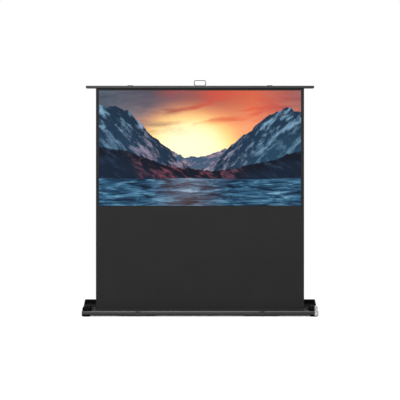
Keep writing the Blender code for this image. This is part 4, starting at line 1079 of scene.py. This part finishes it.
@dataclass
class ScreenFabric:
    """The coated cloth that hangs from the bar, and the turns left on the roller."""

    half_width: float = 0.9125
    bottom: float = 0.042
    top: float = 1.9985
    picture_half: float = PICTURE.half_width
    picture_bottom: float = PICTURE.bottom
    picture_top: float = PICTURE.bottom + PICTURE.height
    back_y: float = 0.0073
    thickness: float = 0.0005
    coat: float = 0.0006
    coat_lip: float = 0.0004
    ripple: float = 0.0007
    # Each wave's size, how fast it turns across and up, and where it starts.
    waves: tuple[tuple[float, ...], ...] = ((1.0, 3.1, 1.3, 0.0), (0.6, 7.3, -2.1, 1.0))
    slow_share: float = 0.45
    edge_share: float = 0.8
    columns: int = 48
    drop_rows: int = 26
    picture_rows: int = 28
    hem_place: float = 1.9855
    lowered_top: float = 0.1029
    tube: Point2 = (-0.018, 0.042)
    inner_radius: float = 0.02306
    outer_radius: float = 0.02425
    turns: float = 2.2
    turn_columns: int = 12
    turn_rows: int = 96

    def wave(self, x: float, z: float) -> float:
        """The slow ripple of hanging cloth, which dies out at the bar and at the roller.

        Args:
            x: The place across.
            z: The height.

        Returns:
            How far the cloth stands back there.
        """
        share = (z - self.bottom) / (self.top - self.bottom)
        hold = math.sin(math.pi * min(max(share, 0.0), 1.0))
        edge = (abs(x) / self.half_width) ** 6
        slow = sum(size * math.sin(a * x + b * z + start) for size, a, b, start in self.waves)
        return self.ripple * hold * (self.slow_share * slow - self.edge_share * edge)

    def front(self, x: float, z: float) -> Vector:
        """A point on the viewer's side, a coat thicker where the picture is.

        Args:
            x: The place across.
            z: The height.

        Returns:
            The point.
        """
        coated = abs(x) <= self.picture_half and self.picture_bottom <= z <= self.picture_top
        step = self.thickness + (self.coat if coated else 0.0)
        return Vector((x, self.back_y - step + self.wave(x, z), z))

    def back(self, x: float, z: float) -> Vector:
        """A point on the cloth's back."""
        return Vector((x, self.back_y + self.wave(x, z), z))

    def hanging(self) -> None:
        """The cloth from the roller up into the bar, with grid lines on the picture's edges."""
        lip, half = self.coat_lip, self.picture_half
        across = [-self.half_width, -half - lip, *spaced(-half, half, self.columns),
                  half + lip, self.half_width]
        up = [*spaced(self.bottom, self.picture_bottom - lip, self.drop_rows),
              *spaced(self.picture_bottom, self.picture_top, self.picture_rows),
              self.picture_top + lip, self.hem_place, self.top]
        piece = make_piece("screen_cloth", slab(across, up, self.front, self.back), PICTURE,
                           "base", ("backing_sheet", "viewing_surface"))
        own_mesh(piece)

    def turn(self, lift: float, x: float, share: float) -> Vector:
        """A point of the cloth on the tube, as one spiral that comes off at the rear.

        Args:
            lift: How far it lies from the middle of the cloth.
            x: The place across.
            share: The share of the spiral's length.

        Returns:
            The point.
        """
        radius = self.outer_radius + lift - (self.outer_radius - self.inner_radius) * share
        angle = -math.tau * self.turns * share
        y, z = self.tube
        return Vector((x, y + radius * math.cos(angle), z + radius * math.sin(angle)))

    def wound(self) -> None:
        """The turns on the tube."""
        half = self.thickness / 2
        form = slab(spaced(-self.half_width, self.half_width, self.turn_columns),
                    spaced(0.0, 1.0, self.turn_rows), partial(self.turn, half),
                    partial(self.turn, -half))
        piece = make_piece("wound_cloth", form, BACKING, "roller",
                           ("wound_fabric",))

    def build(self) -> None:
        """Makes both pieces of cloth."""
        self.hanging()
        self.wound()


@dataclass
class Case:
    """The extruded trough between its moulded end caps."""

    recess_x: float = 1.026
    screw_places: tuple[Point2, ...] = ((-0.03565, 0.022), (0.03565, 0.022), (0.0, 0.041))
    screw: Fastener = Fastener(0.0040, 0.0023, Drive.CROSS)
    felt_half: float = 0.955
    felt: Strip = Strip((-0.0538, 0.0452), (-0.0462, 0.0488), 0.0012)

    def build(self) -> None:
        """Dresses the case, and adds the caps' screws and the felt under the front lip."""
        dress("base_case", POWDER)
        dress("end_cap_left end_cap_right", ABS, 0.0008)
        dress("base_pad_left base_pad_right", RUBBER, 0.0006)
        for name, outward in (("left", LEFT), ("right", RIGHT)):
            places = [(outward.x * self.recess_x, y, z) for y, z in self.screw_places]
            make_piece(f"cap_screws_{name}", self.screw.row(places, outward), BLACK_STEEL,
                       "base")
        make_piece("lip_felt", self.felt.form(-self.felt_half, self.felt_half), FELT, "base")


@dataclass
class SpringRoller:
    """The tube on its brackets, with the spring that winds it."""

    axis: Point2 = (-0.018, 0.042)
    bracket_x: float = 0.9255
    foot_top: float = 0.0130
    screw_y: Point2 = (-0.034, -0.003)
    screw: Fastener = Fastener(0.0032, 0.0016, Drive.CROSS)
    coil_radius: float = 0.0150
    wire: float = 0.0011
    coil_start: float = -0.8998
    coil_end: float = -0.3335
    turns: int = 66
    points: int = 14

    def spring(self) -> None:
        """The close-wound torsion spring on its rod."""
        run = spaced(self.coil_start, self.coil_end, self.turns * self.points)
        ring = [Vector((0, *self.axis)) + Vector((0, y, z))
                for y, z in circle(self.coil_radius, self.points)]
        path = [ring[i % self.points] + Vector((x, 0, 0)) for i, x in enumerate(run)]
        make_piece("wound_spring", tube(path, self.wire, 6), SPRING, "base",
                   ("torsion_spring",))

    def build(self) -> None:
        """Dresses the roller, and adds its spring and its brackets' screws."""
        dress("roller_tube", BLACK_ANODISED, 0.0002)
        dress("roller_plug_left roller_plug_right", ABS)
        # The brackets and their screws take the darkened zinc: painted shade inside the case.
        dress("roller_bracket_left roller_bracket_right", SHADED_ZINC, 0.0003)
        dress("spring_rod spring_anchor roller_idler_pin", ZINC, 0.0003)
        self.spring()
        places = [(x, y, self.foot_top) for x in around(self.bracket_x)
                  for y in self.screw_y]
        make_piece("roller_bracket_screws", self.screw.row(places, UP), SHADED_ZINC, "base")


@dataclass
class ScissorFrame:
    """Two crossed pairs of arms with their rivets, wheels and rails."""

    pivot_x: float = -0.61
    centre_x: float = -0.034969
    wheel_x: float = 0.540063
    base_z: float = 0.0221
    top_z: float = 1.9854
    arms_y: Point2 = (0.0197, 0.0323)
    collar_y: Point2 = (0.0253, 0.0267)
    collar_slope: float = 0.0002
    shank: float = 0.0035
    head: float = 0.007
    rise: float = 0.0017
    collar: float = 0.0075
    wheel_radius: float = 0.009
    wheel_y: Point2 = (0.0366, 0.0406)
    wheel_bore: float = 0.0029
    # The hub's edge, the relieved face between its two edges, and the tread's inner edge.
    wheel_face: tuple[float, ...] = (0.0047, 0.0051, 0.0071, 0.0076)
    wheel_bend: float = 0.0007
    rail_feet: Point2 = (0.575, 0.86)
    rail_clip: tuple[Point2, ...] = (
        (0.0446, 0.0107), (0.0546, 0.0107), (0.0546, 0.0119), (0.0466, 0.0119),
        (0.0458, 0.0127), (0.0458, 0.0290), (0.0446, 0.0290))
    clip_half: float = 0.009
    clip_foot: Point2 = (0.0504, 0.0119)
    clip_back: Point2 = (0.0458, 0.0225)
    wing_rivets: tuple[float, ...] = (0.545, 0.67, 0.79, 0.895)
    wing_place: Point2 = (0.0395, 1.9990)
    top_bracket: tuple[float, Point2] = (0.015, (0.032, 1.9990))
    base_bracket: tuple[float, Point2] = (0.0155, (0.0385, 0.0130))
    rivet: Fastener = Fastener(0.0036, 0.0013)

    def rivets(self) -> None:
        """The six shoulder rivets, with domed heads and a collar between the arms."""
        (low, high), (near, far) = self.arms_y, self.collar_y
        cap = arc(ORIGIN, self.head, 0, 90, 5, self.rise)[:-1]
        profile = [(0.0, low - self.rise), *((r, low - h) for r, h in cap[::-1]),
                   (self.shank, low), (self.shank, near), (self.collar, near),
                   (self.collar, far), (self.shank, far + self.collar_slope),
                   (self.shank, high), *((r, high + h) for r, h in cap),
                   (0.0, high + self.rise)]
        middle = (self.base_z + self.top_z) / 2
        lower, upper = (self.base_z + middle) / 2, (middle + self.top_z) / 2
        for name, x, z, body in (
            ("base_pivot", self.pivot_x, self.base_z, "base"),
            ("lower_centre", self.centre_x, lower, "lower_front_arm"),
            ("right_elbow", self.wheel_x, middle, "lower_front_arm"),
            ("left_elbow", self.pivot_x, middle, "lower_rear_arm"),
            ("upper_centre", self.centre_x, upper, "upper_rear_arm"),
            ("top_pivot", self.pivot_x, self.top_z, "upper_rear_arm"),
        ):
            make_piece(f"{name}_domed_rivet", moved(lathe(profile), along("X", -90, (x, 0, z))),
                       ZINC, body, (f"{name}_rivet",))

    def wheels(self) -> None:
        """Turned nylon wheels with a crowned tread, relieved faces and a hub."""
        near, far = self.wheel_y
        bend = self.wheel_bend
        rim = self.wheel_radius - bend
        face = list(zip(self.wheel_face, (0.0, bend, bend, 0.0)))
        profile = [(self.wheel_bore, near), *((r, near + sunk) for r, sunk in face),
                   *arc((rim, near + bend), bend, -90, 0, 3),
                   *arc((rim, far - bend), bend, 0, 90, 3),
                   *((r, far - sunk) for r, sunk in face[::-1]), (self.wheel_bore, far)]
        for name, z, stands_for in (("lower", self.base_z, "base_wheel"),
                                    ("upper", self.top_z, "top_wheel")):
            wheel = moved(lathe(profile, 40), along("X", -90, (self.wheel_x, 0, z)))
            make_piece(f"{name}_nylon_wheel", wheel, NATURAL_NYLON, f"{name}_wheel",
                       (stands_for,))

    def fixings(self) -> None:
        """The base rail's angle brackets, and rivets through the wing and the brackets."""
        forms = []
        for x in self.rail_feet:
            forms.append(prism(self.rail_clip, x - self.clip_half, x + self.clip_half,
                               View.SIDE))
            forms.append(self.rivet.row([(x, *self.clip_foot)], UP))
            forms.append(self.rivet.row([(x, *self.clip_back)], BACKWARD))
        make_piece("base_rail_brackets", joined(forms), ZINC, "base",
                   width=0.0002)
        top, base = ([(x, *place) for x in around(spread, (self.pivot_x,))]
                     for spread, place in (self.top_bracket, self.base_bracket))
        wing = [(x, *self.wing_place) for x in self.wing_rivets]
        for name, places, body in (("wing", wing + top, "bar"), ("base_bracket", base, "base")):
            make_piece(f"{name}_rivets", self.rivet.row(places, UP), ZINC, body)

    def build(self) -> None:
        """Dresses the arms, and makes the rivets, wheels and fixings."""
        dress("arm_lower_front arm_lower_rear arm_upper_rear arm_upper_front", ARM_POWDER,
              0.0007)
        dress("base_rail top_rail", MILL, 0.0003)
        dress("base_pivot_bracket top_pivot_bracket base_wheel_axle top_wheel_axle", ZINC,
              0.0003)
        self.rivets()
        self.wheels()
        self.fixings()


@dataclass
class TopBar:
    """The bar that carries the cloth, with its end plugs, saddles and carrying handle."""

    middle_y: float = 0.0065
    saddle_x: float = 0.61
    saddle_top: float = 2.0208
    saddle_screws: float = 0.015
    plate_top: float = 2.0195
    plate_screws: float = 0.026
    screw: Fastener = Fastener(0.0034, 0.0015, Drive.CROSS)
    bail_half: float = 0.051
    bail_axis: float = 2.026
    bail_top: float = 2.063
    bail_wire: float = 0.003
    bail_bend: float = 0.004
    bail_corner: float = 0.014
    bail_tip: float = 0.0405

    def bail(self) -> None:
        """The wire bail, bent in at its feet to pass through the lugs."""
        low, bend, corner = self.bail_axis, self.bail_bend, self.bail_corner
        left = [(-self.bail_tip, low),
                *arc((bend - self.bail_half, low + bend), bend, 270, 180, 6),
                *arc((corner - self.bail_half, self.bail_top - corner), corner, 180, 90, 10)]
        line = left + [(-x, z) for x, z in left[::-1]]
        path = [Vector((x, self.middle_y, z)) for x, z in line]
        make_piece("wire_bail", tube(path, self.bail_wire, 20), GREY_STEEL, "handle",
                   ("handle_bail",))

    def build(self) -> None:
        """Dresses the bar, and adds its handle and the saddles' and the plate's screws."""
        dress("top_bar", BLACK_ANODISED, 0.0003)
        dress("bar_plug_left bar_plug_right", ABS)
        dress("hem_rod", ZINC, 0.0003)
        dress("saddle_left saddle_right", BLACK_STEEL, 0.0005)
        dress("handle_plate", GREY_STEEL, 0.0003)
        self.bail()
        for name, middles, spread, z, finish, slot in (
            ("saddle", around(self.saddle_x), self.saddle_screws, self.saddle_top,
             BLACK_STEEL, "catch_steel"),
            ("handle_plate", (0.0,), self.plate_screws, self.plate_top, GREY_STEEL,
             "handle_steel"),
        ):
            places = [(x, self.middle_y, z) for x in around(spread, middles)]
            make_piece(f"{name}_screws", self.screw.row(places, UP), finish, "bar")


@dataclass
class Lid:
    """The lid. What it carries is drawn on it closed and swung open with it."""

    hinge: Point3 = (0.0, 0.0613, 0.0705)
    opened: float = 162.3
    half: float = 1.0200
    seal: Strip = Strip((-0.0555, 0.0500), (-0.0538, 0.0600), 0.0008)
    pad: Strip = Strip((-0.026, 0.1070), (0.030, 0.1145), 0.003)
    pad_x: tuple[Point2, ...] = ((-0.86, -0.70), (0.70, 0.86))
    keeper_x: float = 0.54
    keeper_place: Point2 = (-0.0593, 0.0585)
    keeper_spread: float = 0.011
    rivet: Fastener = Fastener(0.0022, 0.0009)

    def build(self) -> None:
        """Dresses the lid and adds its seal, its pads and the keepers' rivets."""
        # The shell takes the darker copy of the powder coat: painted shade.
        dress("lid_shell", SHADED_LID_POWDER)
        dress("lid_end_left lid_end_right", ABS, 0.0006)
        dress("keeper_left keeper_right", ZINC, 0.0003)
        places = [(x, *self.keeper_place)
                  for x in around(self.keeper_spread, around(self.keeper_x))]
        swing = along("X", -self.opened, self.hinge) @ Matrix.Translation(-Vector(self.hinge))
        for name, form, finish, slot, width in (
            ("lid_seal", self.seal.form(-self.half, self.half), RUBBER, "pad_rubber", 0.0),
            ("lid_pads", joined(self.pad.form(*ends) for ends in self.pad_x), FELT,
             "pad_rubber", 0.0015),
            ("keeper_rivets", self.rivet.row(places, FRONTWARD), ZINC, "zinc_steel", 0.0),
        ):
            make_piece(name, moved(form, swing), finish, "lid", width=width)


@dataclass(frozen=True)
class Latch:
    """A pressed leaf that swings up on a trunnion from a small plate."""

    x: float
    axis: Point2
    half: float
    length: float
    hook: float
    trunnion_half: float
    groove: float
    eye: float = 0.0024
    thickness: float = 0.0014
    bend: float = 0.0016
    trunnion: float = 0.0012
    columns: int = 20
    # By shares of the leaf: its rows, where its groove ends, how soon it fades, how wide it is.
    rows: tuple[float, float, int] = (0.92, 0.15, 11)
    groove_ends: Point2 = (0.14, 0.86)
    groove_fade: float = 0.10
    groove_wide: float = 0.42

    def line(self, inset: float) -> list[Point2]:
        """The leaf's profile from the top of its hook down and round its eye.

        Args:
            inset: How far inside the leaf's outer face the profile lies.

        Returns:
            Points of (y, z).
        """
        y, z = self.axis
        front, bend = y - self.eye + inset, self.bend - inset
        top = z + self.length - inset
        return [(y - self.eye + self.hook, top),
                *arc((front + bend, top - bend), bend, 90, 180, 5),
                *((front, z + self.length * share) for share in spaced(*self.rows)),
                *arc(self.axis, self.eye - inset, 180, 430, 18)]

    def press(self, x: float, z: float) -> float:
        """How deep the groove up the leaf's middle is.

        Args:
            x: The place across, from the middle.
            z: The height.

        Returns:
            The depth there, which fades at the groove's ends and sides.
        """
        run = (z - self.axis[1]) / self.length
        low, high = self.groove_ends
        ends = min(max(min(run - low, high - run) / self.groove_fade, 0.0), 1.0)
        wide = self.groove_wide * self.half
        return self.groove * ends * max(0.0, 1.0 - (abs(x) / wide) ** 4)

    def point(self, line: list[Point2], x: float, row: int) -> Vector:
        """The point of one side at a place across and a row of its profile."""
        y, z = line[row]
        return Vector((self.x + x, y + self.press(x, z), z))

    def form(self) -> Form:
        """Makes the leaf and its trunnions.

        Returns:
            The form.
        """
        outer, inner = self.line(0.0), self.line(self.thickness)
        leaf = slab(spaced(-self.half, self.half, self.columns), range(len(outer)),
                    partial(self.point, outer), partial(self.point, inner))
        radius, end = self.trunnion, self.trunnion_half
        pin = lathe([(0.0, -end), (radius, -end), (radius, end), (0.0, end)], 20)
        return joined([leaf, moved(pin, along("Y", 90, (self.x, *self.axis)))])


@dataclass
class Latches:
    """The two toggle catches on the lip and the bright clip on the right end cap."""

    catch_x: float = 0.54
    catch_axis: Point2 = (-0.0617, 0.0157)
    clip: Latch = Latch(1.0105, (-0.0615, 0.0145), half=0.0128, length=0.080, hook=0.006,
                        trunnion_half=0.0142, groove=0.0009)
    rivet: Fastener = Fastener(0.0026, 0.0009)
    rivet_place: Point2 = (-0.0590, 0.040)
    rivet_spread: float = 0.013

    def build(self) -> None:
        """Dresses the plates and makes the levers, the clip and the rivets."""
        dress("catch_plate_left catch_plate_right", BLACK_STEEL, 0.0002)
        dress("clip_bracket", NICKEL, 0.0002)
        pair = around(self.catch_x)
        for name, x in zip(("left", "right"), pair):
            lever = Latch(x, self.catch_axis, half=0.0204, length=0.033, hook=0.0032,
                          trunnion_half=0.0219, groove=0.0008)
            make_piece(f"toggle_lever_{name}", lever.form(), BLACK_STEEL, f"{name}_catch",
                       (f"catch_lever_{name}",))
        make_piece("steel_lid_clip", self.clip.form(), NICKEL, "clip",
                   ("lid_clip",))
        places = [(x, *self.rivet_place) for x in around(self.rivet_spread, pair)]
        make_piece("catch_rivets", self.rivet.row(places, FRONTWARD), ZINC, "base")


@dataclass
class Feet:
    """The swivel feet, stowed along the case, with stiffening ribs in their hollows."""

    foot_x: float = 0.54
    rib_z: Point2 = (0.0014, 0.0040)
    rib_run: Point2 = (0.012, 0.112)
    rib_y: tuple[float, ...] = (-0.009, 0.0, 0.009)
    rib_thin: float = 0.0008
    rib_corner: float = 0.0006

    def ribs(self, middle: float) -> Form:
        """The ribs under one foot, on both sides of its bolt.

        Args:
            middle: Where the bolt is.

        Returns:
            The form.
        """
        start, end = self.rib_run
        return joined(
            prism(rounded_box((low, y - self.rib_thin), (high, y + self.rib_thin),
                              self.rib_corner, 2), *self.rib_z, View.PLAN)
            for y in self.rib_y
            for low, high in ((middle + start, middle + end), (middle - end, middle - start)))

    def build(self) -> None:
        """Dresses the feet and their bolts, and adds the ribs."""
        dress("foot_left foot_right", GLASS_NYLON, 0.0006)
        dress("foot_bolt_left foot_bolt_right", ZINC, 0.0003)
        for name, x in zip(("left", "right"), around(self.foot_x)):
            make_piece(f"foot_ribs_{name}", self.ribs(x), GLASS_NYLON, f"{name}_foot")


def main() -> None:
    """Builds the studio and dresses the screen, part by part."""
    logging.basicConfig(level=logging.INFO, format="%(name)s: %(message)s")
    for part in (Studio(), ScreenFabric(), Case(), SpringRoller(), ScissorFrame(), TopBar(),
                 Lid(), Latches(), Feet()):
        part.build()
        LOG.info("%s done", type(part).__name__)


if __name__ == "__main__":
    main()
